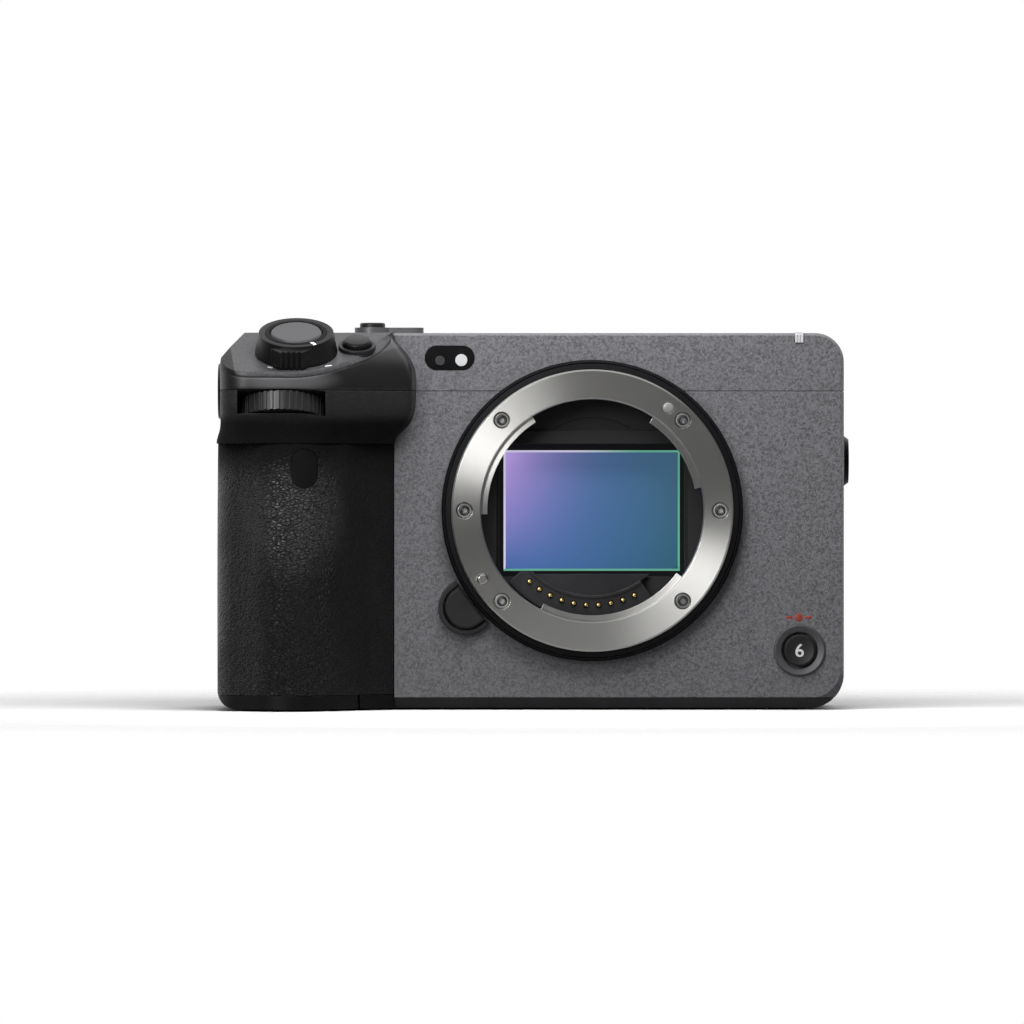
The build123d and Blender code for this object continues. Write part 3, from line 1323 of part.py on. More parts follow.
def thread_bushes():
    """The steel bushes that take quarter-inch screws: three on top, two at the sides, one below."""
    bushes = []
    for x, y in thread_places():
        bush = bar_z(x, y, 4.1, TOP - 1.9, TOP - 0.1) + bar_z(x, y, 5.4, TOP - 8.0, TOP - WALL - 0.02)
        bushes.append(bush - bar_z(x, y, SCREW_HOLE, TOP - SOCKET_DEPTH, TOP + 1))
    (right_y, right_z), (left_y, left_z) = side_thread_places()
    bushes.append(side_boss(RIGHT + 1.2, RIGHT - 6.8, right_y, right_z, 5.45, 4.5, 1.2))
    left_x = SHOULDER_LEFT - 1.1
    bushes.append(side_boss(left_x, left_x + 9.0, left_y, left_z, 6.5, 5.5, 1.1))
    bushes.append(tripod_socket())
    return group(bushes)


def tripod_socket():
    """The flanged steel tripod bush in the base."""
    piece = bar_z(0, 0, 5.5, 0, 8.0) + bar_z(0, 0, 8.5, BOTTOM_COVER_HEIGHT, 3.6)
    return piece - bar_z(0, 0, SCREW_HOLE, -1, SOCKET_DEPTH)


def rubber_feet():
    """The four low ribs that the camera stands on."""
    left = LEFT + 10.7
    right = RIGHT - 17.1
    feet = []
    for x, y in ((left, FACE - 14.5), (left, 28.0), (right, FACE + 7), (right, 28.0)):
        profile = Pos(x, y) * Rot(0, 0, 90) * SlotOverall(6.0, 2.3)
        feet.append(plate_z(profile, -0.4, 0))
    return group(feet)


def bottom_screw_places():
    """The x and y of the screws in the base."""
    return [(GRIP_RIGHT + 4, 33), (RIGHT - 9, 33), (RIGHT - 9, -7), (GRIP_RIGHT + 4, -8), (10, 33)]


def base_screws():
    """The sunk screws in the base."""
    screws = []
    for x, y in bottom_screw_places():
        head = bar_z(x, y, 1.7, 0.1, 1.1)
        screws.append(head - plate_z(Pos(x, y) * Rot(0, 0, 30) * cross(1.9), 0, 0.7))
    return screws


def case_screws():
    """All the screws that show: six in the lens mount and five in the base."""
    return group(mount_screws() + base_screws())


def write(name, shape):
    """Write one sub-part."""
    export_step(shape, f"parts/{name}.step")
    print(name, len(shape.solids()), round(shape.volume, 1))


block_outer = body_block()
handle_outer = handle()
handle_core = handle(SKIN)
shelf_outer = shelf()
cavity_space = cavity()

os.makedirs("parts", exist_ok=True)

PIECES = {
    "front_panel": front_panel,
    "top_cover": top_cover,
    "rear_cover": rear_cover,
    "bottom_cover": bottom_cover,
    "grip_shell": grip_shell,
    "grip_skin": grip_skin,
    "grip_front_rest": grip_front_rest,
    "grip_top_housing": grip_top_housing,
    "grip_control_deck": grip_control_deck,
    "front_windows": front_windows,
    "lamp_lenses": lamp_lenses,
    "zoom_lever": zoom_lever,
    "shutter_button": shutter_button,
    "deck_button": deck_button,
    "front_dial": front_dial,
    "rear_dial": rear_dial,
    "lens_mount_ring": lens_mount_ring,
    "mount_trim_ring": mount_trim_ring,
    "chassis": chassis,
    "light_chamber": light_chamber,
    "contact_block": contact_block,
    "contact_pins": contact_pins,
    "shutter_frame": shutter_frame,
    "sensor_stack": sensor_stack,
    "sensor_carrier": sensor_carrier,
    "shift_frame": shift_frame,
    "sensor_base_plate": sensor_base_plate,
    "heat_sink": heat_sink,
    "fan_housing": fan_housing,
    "fan_rotor": fan_rotor,
    "button_bezels": button_bezels,
    "lens_release_button": lens_release_button,
    "lock_pin": lock_pin,
    "front_record_button": front_record_button,
    "power_lever": power_lever,
    "power_button": power_button,
    "control_wheel": control_wheel,
    "select_button": select_button,
    "joystick_gimbal": joystick_gimbal,
    "joystick": joystick,
    "monitor_hinge": monitor_hinge,
    "monitor_arm": monitor_arm,
    "monitor_shell": monitor_shell,
    "monitor_screen": monitor_screen,
    "battery_door": battery_door,
    "battery_door_latch": battery_door_latch,
    "battery_pack": battery_pack,
    "card_door": card_door,
    "card_slots": card_slots,
    "circuit_boards": circuit_boards,
    "accessory_shoe": accessory_shoe,
    "thread_bushes": thread_bushes,
    "rubber_feet": rubber_feet,
    "case_screws": case_screws,
}

for node, maker in PIECES.items():
    write(node, maker())
for number in range(BLADE_COUNT):
    write(f"shutter_blade_{number + 1}", shutter_blade(number))
for number in range(len(port_door_spans())):
    write(f"port_door_{number + 1}", port_door(number))
for number in range(len(rear_button_places())):
    write(f"rear_button_{number + 1}", rear_button(number))
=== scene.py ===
"""Looks, light and camera for the compact cinema camera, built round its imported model.

Lengths in the classes are millimetres and are turned to metres where a mesh is made.
The lens faces -Y, +X is to the right of someone facing the lens and +Z is up.
"""

import logging
import math
from dataclasses import dataclass
from enum import Enum
from functools import cached_property

import bmesh
import bpy
from bmesh.types import BMesh, BMVert
from bpy.types import Material, Node, NodeSocket, NodeTree
from mathutils import Matrix, Vector


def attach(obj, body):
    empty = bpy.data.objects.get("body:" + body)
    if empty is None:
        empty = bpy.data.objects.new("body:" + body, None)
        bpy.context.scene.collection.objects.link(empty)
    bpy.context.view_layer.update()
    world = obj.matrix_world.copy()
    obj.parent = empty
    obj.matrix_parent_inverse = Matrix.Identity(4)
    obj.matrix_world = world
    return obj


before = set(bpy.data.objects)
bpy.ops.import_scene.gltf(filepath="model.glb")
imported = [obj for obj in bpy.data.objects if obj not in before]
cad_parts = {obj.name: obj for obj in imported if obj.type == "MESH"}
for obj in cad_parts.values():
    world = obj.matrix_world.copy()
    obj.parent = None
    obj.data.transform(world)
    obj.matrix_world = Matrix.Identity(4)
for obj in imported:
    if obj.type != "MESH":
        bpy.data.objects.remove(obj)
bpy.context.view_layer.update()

MM = 0.001
AXIS_HEIGHT = 40.9
FLANGE = -18.0
FACE = -14.0
TOP = 77.7
REAR = 39.5
DECK_SLOPE = math.radians(24.0)
DECK_LIP = (-36.3, 69.15)
HIDE_PULL = (0.72, 0.72, 1.3)
INK = 0.03
INK_EDGE = 0.005
CIRCLE_STEPS = 48
SHARP_ANGLE = math.radians(35)
BEVEL_ANGLE = math.radians(40)
VECTOR_SOCKETS = ("Vector", "Centre", "Normal")
Color = tuple[float, float, float]
Span = tuple[float, float]
Sizes = tuple[float, ...]
Sockets = bpy.types.bpy_prop_collection
log = logging.getLogger("cinema_camera")


class Grain(Enum):
    """The relief that a finish carries."""

    PLAIN = "plain"
    MOULDED = "moulded"
    SPECKLED = "speckled"
    LEATHER = "leather"
    TURNED = "turned"


class Side(Enum):
    """The way that a piece looks."""

    FRONT = "front"
    REAR = "rear"
    TOP = "top"
    DECK = "deck"


UPRIGHT = Matrix.Rotation(math.radians(90), 4, "X")
TURNS = {
    Side.FRONT: UPRIGHT,
    Side.REAR: Matrix.Rotation(math.radians(180), 4, "Z") @ UPRIGHT,
    Side.TOP: Matrix.Identity(4),
    Side.DECK: Matrix.Rotation(DECK_SLOPE, 4, "X"),
}


class Graph:
    """A thin helper round a node tree."""

    def __init__(self, tree: NodeTree) -> None:
        """Start on the tree that gets the nodes."""
        self.tree = tree

    @cached_property
    def place(self) -> NodeSocket:
        """The object's coordinates, in metres."""
        return self.node("TexCoord").outputs["Object"]

    @cached_property
    def axes(self) -> Sockets:
        """The object's coordinates apart, as X, Y and Z."""
        return self.node("SeparateXYZ", {0: self.place}).outputs

    def link(self, source: NodeSocket, target: NodeSocket) -> None:
        """Join an output socket to an input socket."""
        self.tree.links.new(source, target)

    def node(self, kind: str, inputs: dict | None = None, **settings: object) -> Node:
        """Add a node, set its properties and fill or link its inputs.

        Args:
            kind: the node's type name without the ShaderNode prefix.
            inputs: values or output sockets by input name or number.
            **settings: properties of the node.

        Returns:
            The new node.
        """
        made = self.tree.nodes.new("ShaderNode" + kind)
        for key, value in settings.items():
            setattr(made, key, value)
        for key, value in (inputs or {}).items():
            if isinstance(value, NodeSocket):
                self.link(value, made.inputs[key])
            else:
                made.inputs[key].default_value = value
        return made

    def math(self, operation: str, *values: object) -> NodeSocket:
        """The result of a Math node on numbers or sockets."""
        return self.node("Math", dict(enumerate(values)), operation=operation).outputs[0]

    def vector(self, operation: str, *values: object) -> Node:
        """A Vector Math node on vectors or sockets, with Vector and Value outputs."""
        return self.node("VectorMath", dict(enumerate(values)), operation=operation)

    def remap(self, value: NodeSocket, low: float, high: float, start: float = 0.0, end: float = 1.0,
              shape: str = "SMOOTHSTEP") -> NodeSocket:
        """The value stretched from the range low to high onto the range start to end, and held beyond it."""
        ranges = {0: value, 1: low, 2: high, 3: start, 4: end}
        return self.node("MapRange", ranges, interpolation_type=shape).outputs[0]

    def noise(self, vector: NodeSocket, scale: object, detail: float, roughness: float = 0.5) -> Node:
        """A Noise Texture node."""
        return self.node("TexNoise", {"Vector": vector, "Scale": scale, "Detail": detail, "Roughness": roughness})

    def mix_values(self, factor: NodeSocket, first: object, second: object) -> NodeSocket:
        """A mix of two numbers or sockets, the first at factor 0 and the second at 1."""
        return self.node("Mix", {0: factor, 2: first, 3: second}).outputs[0]

    def mix(self, factor: object, first: object, second: object) -> NodeSocket:
        """A mix of two colours or sockets, the first at factor 0 and the second at 1."""
        start, end = (value if isinstance(value, NodeSocket) else (*value, 1.0) for value in (first, second))
        return self.node("Mix", {0: factor, 6: start, 7: end}, data_type="RGBA").outputs[2]


@dataclass
class ShaderGroups:
    """The effects that several finishes share, each built once. Noise scales are per metre."""

    bevel_samples: int = 6
    edge_turn: Span = (0.985, 0.8)
    patch_scale: float = 260.0
    patch_limits: Span = (0.42, 0.62)
    fleck_limits: Span = (0.52, 0.74)
    mottle_scale: float = 0.55
    tone_limits: Span = (0.3, 0.7)
    warp_scale: float = 0.7
    warp_reach: float = 0.9
    crease_width: float = 0.22
    crease_share: float = 0.65
    fold_scale: float = 0.43
    fold_width: float = 0.12
    smear_scale: float = 70.0

    def group(self, name: str, inputs: tuple[str, ...], outputs: tuple[str, ...]) -> tuple[Graph, Sockets, Sockets]:
        """Start a group with its named sockets.

        Args:
            name: the group's name.
            inputs: its input names.
            outputs: its output names.

        Returns:
            The graph, the sockets that it is given and those that take its results.
        """
        tree = bpy.data.node_groups.new(name, "ShaderNodeTree")
        for way, keys in (("INPUT", inputs), ("OUTPUT", outputs)):
            for key in keys:
                kind = "NodeSocketVector" if key in VECTOR_SOCKETS else "NodeSocketFloat"
                tree.interface.new_socket(key, in_out=way, socket_type=kind)
        given, result = tree.nodes.new("NodeGroupInput"), tree.nodes.new("NodeGroupOutput")
        return Graph(tree), given.outputs, result.inputs

    @cached_property
    def soft_edges(self) -> NodeTree:
        """Rounded edges and the worn line along them.

        Returns:
            The group, with Normal and Wear outputs.
        """
        graph, given, result = self.group("soft_edges", ("Radius", "Vector"), ("Normal", "Wear"))
        rounded = graph.node("Bevel", {"Radius": given["Radius"]}, samples=self.bevel_samples).outputs[0]
        true_normal = graph.node("NewGeometry").outputs["Normal"]
        turned_away = graph.vector("DOT_PRODUCT", rounded, true_normal).outputs["Value"]
        patches = graph.noise(given["Vector"], self.patch_scale, 4.0)
        worn = graph.math("MULTIPLY", graph.remap(turned_away, *self.edge_turn),
                          graph.remap(patches.outputs[0], *self.patch_limits))
        graph.link(rounded, result["Normal"])
        graph.link(worn, result["Wear"])
        return graph.tree

    @cached_property
    def flecks(self) -> NodeTree:
        """The pale flecks and the fine mottling of metallic paint.

        Returns:
            The group, with Fleck and Tone outputs.
        """
        graph, given, result = self.group("flecks", ("Vector", "Scale"), ("Fleck", "Tone"))
        vector, scale = given["Vector"], given["Scale"]
        fine = graph.noise(vector, scale, 2.0, 0.7)
        broad = graph.noise(vector, graph.math("MULTIPLY", scale, self.mottle_scale), 3.0, 0.7)
        graph.link(graph.remap(fine.outputs[0], *self.fleck_limits), result["Fleck"])
        graph.link(graph.remap(broad.outputs[0], *self.tone_limits), result["Tone"])
        return graph.tree

    @cached_property
    def leather(self) -> NodeTree:
        """Irregular pebbles with fine creases and broader folds between them.

        Returns:
            The group, with Height and Crease outputs.
        """
        graph, given, result = self.group("leather", ("Vector", "Scale"), ("Height", "Crease"))
        vector, scale = given["Vector"], given["Scale"]
        warp = graph.noise(vector, graph.math("MULTIPLY", scale, self.warp_scale), 2.0)
        centred = graph.vector("SUBTRACT", warp.outputs["Color"], (0.5, 0.5, 0.5)).outputs[0]
        small = graph.node("VectorMath", {0: centred, "Scale": graph.math("DIVIDE", self.warp_reach, scale)},
                           operation="SCALE").outputs[0]
        place = graph.vector("ADD", vector, small).outputs[0]
        cells = []
        for cell_scale, width in ((scale, self.crease_width),
                                  (graph.math("MULTIPLY", scale, self.fold_scale), self.fold_width)):
            cell = graph.node("TexVoronoi", {"Vector": place, "Scale": cell_scale}, feature="DISTANCE_TO_EDGE")
            cells.append(graph.remap(cell.outputs["Distance"], 0.0, width))
        height = graph.math("ADD", graph.math("MULTIPLY", cells[0], self.crease_share),
                            graph.math("MULTIPLY", cells[1], 1.0 - self.crease_share))
        graph.link(height, result["Height"])
        graph.link(graph.math("SUBTRACT", 1.0, height), result["Crease"])
        return graph.tree

    @cached_property
    def moulded(self) -> NodeTree:
        """The fine spark-eroded grain of moulded plastic and rubber.

        Returns:
            The group, with Height and Tone outputs.
        """
        graph, given, result = self.group("moulded", ("Vector", "Scale"), ("Height", "Tone"))
        vector, scale = given["Vector"], given["Scale"]
        grain = graph.noise(vector, scale, 3.0, 0.6)
        smear = graph.noise(vector, self.smear_scale, 3.0, 0.55)
        graph.link(grain.outputs[0], result["Height"])
        graph.link(graph.remap(smear.outputs[0], *self.tone_limits), result["Tone"])
        return graph.tree

    @cached_property
    def turned(self) -> NodeTree:
        """Fine rings left by a lathe, about an axis that runs front to back.

        Returns:
            The group, with a Tone output.
        """
        graph, given, result = self.group("turned", ("Vector", "Centre", "Scale"), ("Tone",))
        offset = graph.vector("SUBTRACT", given["Vector"], given["Centre"]).outputs[0]
        flat = graph.vector("MULTIPLY", offset, (1.0, 0.0, 1.0)).outputs[0]
        radius = graph.vector("LENGTH", flat).outputs["Value"]
        rings = graph.node("TexNoise", {"W": graph.math("MULTIPLY", radius, given["Scale"]), "Scale": 1.0,
                                        "Detail": 3.0, "Roughness": 0.7}, noise_dimensions="1D")
        graph.link(graph.remap(rings.outputs[0], *self.tone_limits), result["Tone"])
        return graph.tree


GROUPS = ShaderGroups()
MADE: dict[str, Material] = {}


@dataclass(frozen=True)
class PaintedHighlight:
    """An oval painted highlight, seen from the front: a paler colour that stands in for a lamp's reflection on a
    curved surface.
    """

    x: float
    z: float
    half_width: float
    half_height: float
    color: Color

    def over(self, graph: Graph, base: NodeSocket, hollows: NodeSocket | None) -> NodeSocket:
        """Lay the painted highlight's paler colour over a finish's own, outside its hollows.

        Args:
            graph: the material's graph.
            base: the finish's own colour.
            hollows: the mask of the creases that the painted highlight leaves out, if any.

        Returns:
            The colour socket.
        """
        squares = []
        for axis, middle, half in (("X", self.x, self.half_width), ("Z", self.z, self.half_height)):
            offset = graph.math("SUBTRACT", graph.axes[axis], middle * MM)
            aside = graph.math("MULTIPLY", offset, 1 / (half * MM))
            squares.append(graph.math("MULTIPLY", aside, aside))
        share = graph.remap(graph.math("ADD", *squares), 0.0, 1.0, 1.0, 0.0)
        if hollows is not None:
            share = graph.math("MULTIPLY", share, graph.math("SUBTRACT", 1.0, hollows))
        return graph.mix(share, base, self.color)


@dataclass(frozen=True)
class Finish:
    """One surface finish, from which a material is made once."""

    name: str
    color: Color
    roughness: float
    metallic: float = 0.0
    grain: Grain = Grain.MOULDED
    grain_size: float = 0.25
    relief: float = 0.02
    # Pale flecks on paint; painted shade in the creases of leather grains.
    fleck_and_crease_shade: float = 0.0
    fleck_and_crease_shade_color: Color = (0.45, 0.45, 0.47)
    variation: float = 0.12
    wear: float = 0.1
    wear_color: Color = (0.35, 0.35, 0.36)
    edge: float = 0.15
    specular: float = 0.5
    stretch: float = 0.0
    painted_highlight: PaintedHighlight | None = None

    def material(self) -> Material:
        """The finish's material, made the first time it is asked for.

        Returns:
            The material.
        """
        if self.name in MADE:
            return MADE[self.name]
        made = bpy.data.materials.new("look_" + self.name)
        MADE[self.name] = made
        made.use_nodes = True
        made.diffuse_color = (*self.color, 1.0)
        shader = made.node_tree.nodes["Principled BSDF"]
        shader.inputs["Metallic"].default_value = self.metallic
        shader.inputs["Specular IOR Level"].default_value = self.specular
        shader.inputs["Anisotropic"].default_value = self.stretch
        self.dress(Graph(made.node_tree), shader)
        return made

    def dress(self, graph: Graph, shader: Node) -> None:
        """Fill the colour, roughness and normal of the shader.

        Args:
            graph: the material's graph.
            shader: its Principled BSDF.
        """
        edges = graph.node("Group", {"Radius": self.edge * MM, "Vector": graph.place}, node_tree=GROUPS.soft_edges)
        height, tone, mask = self.pattern(graph)
        base = self.base_color(graph, tone, mask)
        # Painted highlight: a paler oval stands in for a lamp's reflection.
        if self.painted_highlight:
            base = self.painted_highlight.over(graph, base, mask)
        worn = graph.math("MULTIPLY", edges.outputs["Wear"], self.wear)
        graph.link(graph.mix(worn, base, self.wear_color), shader.inputs["Base Color"])
        spread = self.variation / 2
        rough = graph.remap(tone, 0.0, 1.0, self.roughness - spread, min(1.0, self.roughness + spread))
        graph.link(rough, shader.inputs["Roughness"])
        if self.grain is Grain.TURNED:
            round_axis = graph.node("Tangent", direction_type="RADIAL", axis="Y")
            graph.link(round_axis.outputs[0], shader.inputs["Tangent"])
            shader.inputs["Anisotropic Rotation"].default_value = 0.25
        normal = edges.outputs["Normal"]
        if height is not None:
            normal = graph.node("Bump", {"Height": height, "Normal": normal, "Strength": 1.0,
                                         "Distance": self.relief * MM}).outputs[0]
        graph.link(normal, shader.inputs["Normal"])

    def pattern(self, graph: Graph) -> tuple[NodeSocket | None, NodeSocket, NodeSocket | None]:
        """The finish's relief, its tone and the mask of its flecks or creases.

        Args:
            graph: the material's graph.

        Returns:
            The height socket or None, the tone socket and the mask socket or None.
        """
        given = {"Vector": graph.place, "Scale": 1.0 / (self.grain_size * MM)}
        if self.grain is Grain.SPECKLED:
            spots = graph.node("Group", given, node_tree=GROUPS.flecks)
            return spots.outputs["Fleck"], spots.outputs["Tone"], spots.outputs["Fleck"]
        if self.grain is Grain.TURNED:
            given["Centre"] = (0.0, 0.0, AXIS_HEIGHT * MM)
            return None, graph.node("Group", given, node_tree=GROUPS.turned).outputs["Tone"], None
        smear = graph.node("Group", given, node_tree=GROUPS.moulded)
        if self.grain is Grain.LEATHER:
            given["Vector"] = graph.vector("MULTIPLY", graph.place, HIDE_PULL).outputs[0]
            hide = graph.node("Group", given, node_tree=GROUPS.leather)
            return hide.outputs["Height"], smear.outputs["Tone"], hide.outputs["Crease"]
        height = None if self.grain is Grain.PLAIN else smear.outputs["Height"]
        return height, smear.outputs["Tone"], None

    def base_color(self, graph: Graph, tone: NodeSocket, mask: NodeSocket | None) -> NodeSocket:
        """The colour before the painted highlight and wear.

        Args:
            graph: the material's graph.
            tone: the slow variation.
            mask: the flecks or creases, if the grain has them.

        Returns:
            The colour socket.
        """
        low = tuple(channel * (1.0 - self.variation) for channel in self.color)
        high = tuple(channel * (1.0 + self.variation) for channel in self.color)
        base = graph.mix(tone, low, high)
        if mask is None or self.fleck_and_crease_shade == 0.0:
            return base
        # On paint the mask is pale flecks; on leather grains it is the creases, darkened as painted shade.
        return graph.mix(graph.math("MULTIPLY", mask, self.fleck_and_crease_shade), base, self.fleck_and_crease_shade_color)


@dataclass(frozen=True)
class HideFinish(Finish):
    """Leather grain that fades out across the flank, with a band under the overhang that is more matt and darkened
    as painted shade.
    """

    fade: Span = (-54.5, -50.5)
    left_over: float = 0.3
    painted_shade_band: Span = (46.5, 54.0)
    matt: float = 0.5
    painted_shade_color: Color = (0.0015, 0.0015, 0.0016)

    def dress(self, graph: Graph, shader: Node) -> None:
        """Make the rubber more matt in its band under the overhang, and darken its colour there as painted shade.

        Args:
            graph: the material's graph.
            shader: its Principled BSDF.
        """
        super().dress(graph, shader)
        color, roughness = shader.inputs["Base Color"], shader.inputs["Roughness"]
        share = graph.remap(graph.axes["Z"], self.painted_shade_band[0] * MM, self.painted_shade_band[1] * MM)
        matter = graph.math("ADD", roughness.links[0].from_socket, graph.math("MULTIPLY", share, self.matt))
        graph.link(matter, roughness)
        # Painted shade: the colour darkens across the band under the overhang.
        graph.link(graph.mix(share, color.links[0].from_socket, self.painted_shade_color), color)

    def pattern(self, graph: Graph) -> tuple[NodeSocket, NodeSocket, NodeSocket]:
        """The leather's relief, weakened where the fingertips go.

        Args:
            graph: the material's graph.

        Returns:
            The height, the tone and the crease mask.
        """
        height, tone, mask = super().pattern(graph)
        keep = graph.remap(graph.axes["X"], self.fade[0] * MM, self.fade[1] * MM, 1.0, self.left_over)
        return graph.math("MULTIPLY", height, keep), tone, graph.math("MULTIPLY", mask, keep)


@dataclass(frozen=True)
class SensorFinish(Finish):
    """The coated cover glass, whose colours change across it: partly the coating's own tint and partly a painted
    reflection of its thin films' sheen, brightest to the top left, with painted highlights on its bevelled rim.
    """

    left: Color = (0.065, 0.142, 0.40)
    right: Color = (0.028, 0.108, 0.165)
    top_right: Color = (0.062, 0.155, 0.25)
    top_left_reflection: Color = (0.66, 0.44, 1.0)
    corner_powers: Span = (4.0, 1.3)
    lilac_rim_highlight: Color = (0.80, 0.76, 0.98)
    green_rim_highlight: Color = (0.16, 0.52, 0.36)
    lilac_fade: Span = (0.35, 0.8)
    rim_width: float = 0.42
    sides: Color = (0.006, 0.006, 0.007)
    half: Span = (18.35, 12.55)
    margin: float = 0.01
    drop: float = 0.3
    painted_glow: float = 0.68
    pigment: float = 0.52

    def dress(self, graph: Graph, shader: Node) -> None:
        """Give the colour field off as light of its own, a painted glow for the even sheen of the thin films, which
        no lamp in front of them changes.

        Args:
            graph: the material's graph.
            shader: its Principled BSDF.
        """
        super().dress(graph, shader)
        color = shader.inputs["Base Color"]
        field = color.links[0].from_socket
        # Painted glow: the glass gives off light of its own.
        graph.link(field, shader.inputs["Emission Color"])
        graph.link(graph.mix(self.pigment, (0.0, 0.0, 0.0), field), color)
        shader.inputs["Emission Strength"].default_value = self.painted_glow

    def base_color(self, graph: Graph, tone: NodeSocket, mask: NodeSocket | None) -> NodeSocket:
        """Blend from side to side and into the top left corner as a painted reflection, and paint highlights on the
        bevelled rim.

        Args:
            graph: the material's graph.
            tone: not used here.
            mask: not used here.

        Returns:
            The colour socket.
        """
        x, z = graph.axes["X"], graph.axes["Z"]
        wide, tall = self.half
        middle = AXIS_HEIGHT - self.drop
        across = graph.remap(x, -wide * MM, wide * MM, shape="LINEAR")
        up = graph.remap(z, (middle - tall) * MM, (middle + tall) * MM, shape="LINEAR")
        leftward = graph.math("SUBTRACT", 1.0, across)
        field = graph.mix(leftward, graph.mix(up, self.right, self.top_right), self.left)
        corner = graph.math("MULTIPLY", graph.math("POWER", leftward, self.corner_powers[0]),
                            graph.math("POWER", up, self.corner_powers[1]))
        field = graph.mix(corner, field, self.top_left_reflection)
        aside = graph.math("ABSOLUTE", x)
        away = graph.math("ABSOLUTE", graph.math("SUBTRACT", z, AXIS_HEIGHT * MM))
        edge = graph.math("MAXIMUM", graph.math("GREATER_THAN", aside, (wide - self.rim_width) * MM),
                          graph.math("GREATER_THAN", away, (tall - self.rim_width) * MM))
        inside = graph.math("MULTIPLY", graph.math("LESS_THAN", aside, (wide + self.margin) * MM),
                            graph.math("LESS_THAN", away, (tall + self.margin) * MM))
        above_foot = graph.math("SUBTRACT", 1.0,
                                graph.math("LESS_THAN", z, (AXIS_HEIGHT - tall + self.rim_width) * MM))
        lilac = graph.math("MULTIPLY", graph.remap(across, *self.lilac_fade, 1.0, 0.0), above_foot)
        # Painted highlights on the bevelled rim.
        rim = graph.mix(lilac, self.green_rim_highlight, self.lilac_rim_highlight)
        return graph.mix(inside, self.sides, graph.mix(edge, field, rim))


@dataclass(frozen=True)
class ZonedFinish(Finish):
    """A finish that holds between two planes and left of a third, with a second colour beyond them."""

    other_color: Color = (0.03, 0.03, 0.03)
    across: tuple[float, float, float] = (1.0, 0.0, 0.0)
    low: float = -1000.0
    high: float = 1000.0
    own_left_of: float = -1000.0

    def base_color(self, graph: Graph, tone: NodeSocket, mask: NodeSocket | None) -> NodeSocket:
        """The finish's colour between the planes and the other one beyond.

        Args:
            graph: the material's graph.
            tone: the slow variation.
            mask: the flecks, if any.

        Returns:
            The colour socket.
        """
        own = super().base_color(graph, tone, mask)
        along = graph.vector("DOT_PRODUCT", graph.place, self.across).outputs["Value"]
        inside = graph.math("MULTIPLY", graph.math("GREATER_THAN", along, self.low * MM),
                            graph.math("LESS_THAN", along, self.high * MM))
        left = graph.math("LESS_THAN", graph.axes["X"], self.own_left_of * MM)
        return graph.mix(graph.math("MAXIMUM", inside, left), self.other_color, own)


PAINT = Finish("speckled_paint", (0.132, 0.1305, 0.141), 0.46, metallic=0.2, grain=Grain.SPECKLED, grain_size=0.27,
               relief=0.016, fleck_and_crease_shade=0.33, variation=0.34, wear=0.25, wear_color=(0.30, 0.30, 0.31), edge=0.22)
BASE_PAINT = ZonedFinish("base_paint", (0.052, 0.052, 0.055), 0.5, grain_size=0.3, relief=0.01, specular=0.2,
                         other_color=(0.004, 0.004, 0.0045), low=-40.8)
BEZEL_PAINT = ZonedFinish("bezel_paint", (0.078, 0.078, 0.083), 0.46, metallic=0.2, grain_size=0.25, relief=0.006,
                          edge=0.3, other_color=(0.011, 0.011, 0.0115), low=20.0)
MONITOR_PAINT = Finish("deck_paint", (0.042, 0.0415, 0.045), 0.44, metallic=0.2, grain=Grain.SPECKLED,
                       grain_size=0.25, relief=0.01, fleck_and_crease_shade=0.2, variation=0.22, edge=0.25)
GRIP_DECK = ZonedFinish("grip_deck", (0.060, 0.059, 0.063), 0.42, metallic=0.2, grain=Grain.SPECKLED,
                        grain_size=0.25, relief=0.008, fleck_and_crease_shade=0.2, variation=0.2, edge=0.7, specular=0.38,
                        other_color=(0.012, 0.012, 0.0125), across=(1.0, 0.0, 0.25), low=-56.05)
# The paler oval on the housing above the dial is a painted highlight.
HOUSING = ZonedFinish("smooth_housing", (0.010, 0.010, 0.0105), 0.34, grain_size=0.18, relief=0.006, edge=0.8,
                      other_color=(0.036, 0.0355, 0.038), across=(-0.298, 0.0, 1.0), high=86.55, own_left_of=-58.0,
                      painted_highlight=PaintedHighlight(-62.6, 67.8, 12.0, 3.2, (0.085, 0.085, 0.088)))
# Painted highlight on the grip's nose; painted shade in the creases and in the band under the overhang.
LEATHER = HideFinish("leather_rubber", (0.0075, 0.0075, 0.008), 0.42, grain=Grain.LEATHER, grain_size=0.72,
                     relief=0.5, fleck_and_crease_shade=0.4, fleck_and_crease_shade_color=(0.0015, 0.0015, 0.0015), variation=0.15, wear=0.0,
                     edge=0.3, specular=0.36, painted_highlight=PaintedHighlight(-62.0, 39.5, 12.5, 15.5, (0.054, 0.054, 0.057)))
# Painted shade in the creases and in the lower band under the overhang.
REST_RUBBER = HideFinish("fine_rubber", (0.019, 0.019, 0.020), 0.44, grain=Grain.LEATHER, grain_size=0.7,
                         relief=0.07, fleck_and_crease_shade=0.3, fleck_and_crease_shade_color=(0.003, 0.003, 0.003), edge=0.35, wear=0.0,
                         specular=0.33, fade=(900.0, 901.0), painted_shade_band=(61.2, 58.4))
DOOR_RUBBER = Finish("door_rubber", (0.015, 0.015, 0.016), 0.6, grain_size=0.3, wear=0.0, specular=0.25)
CONTROL_PAINT = Finish("control_paint", (0.0075, 0.0075, 0.008), 0.4, metallic=0.2, grain_size=0.14, relief=0.006,
                       variation=0.08, edge=0.25, specular=0.3)
LEVER_PAINT = Finish("lever_paint", (0.10, 0.10, 0.105), 0.36, metallic=0.3, grain_size=0.14, relief=0.006,
                     variation=0.08, edge=0.25)
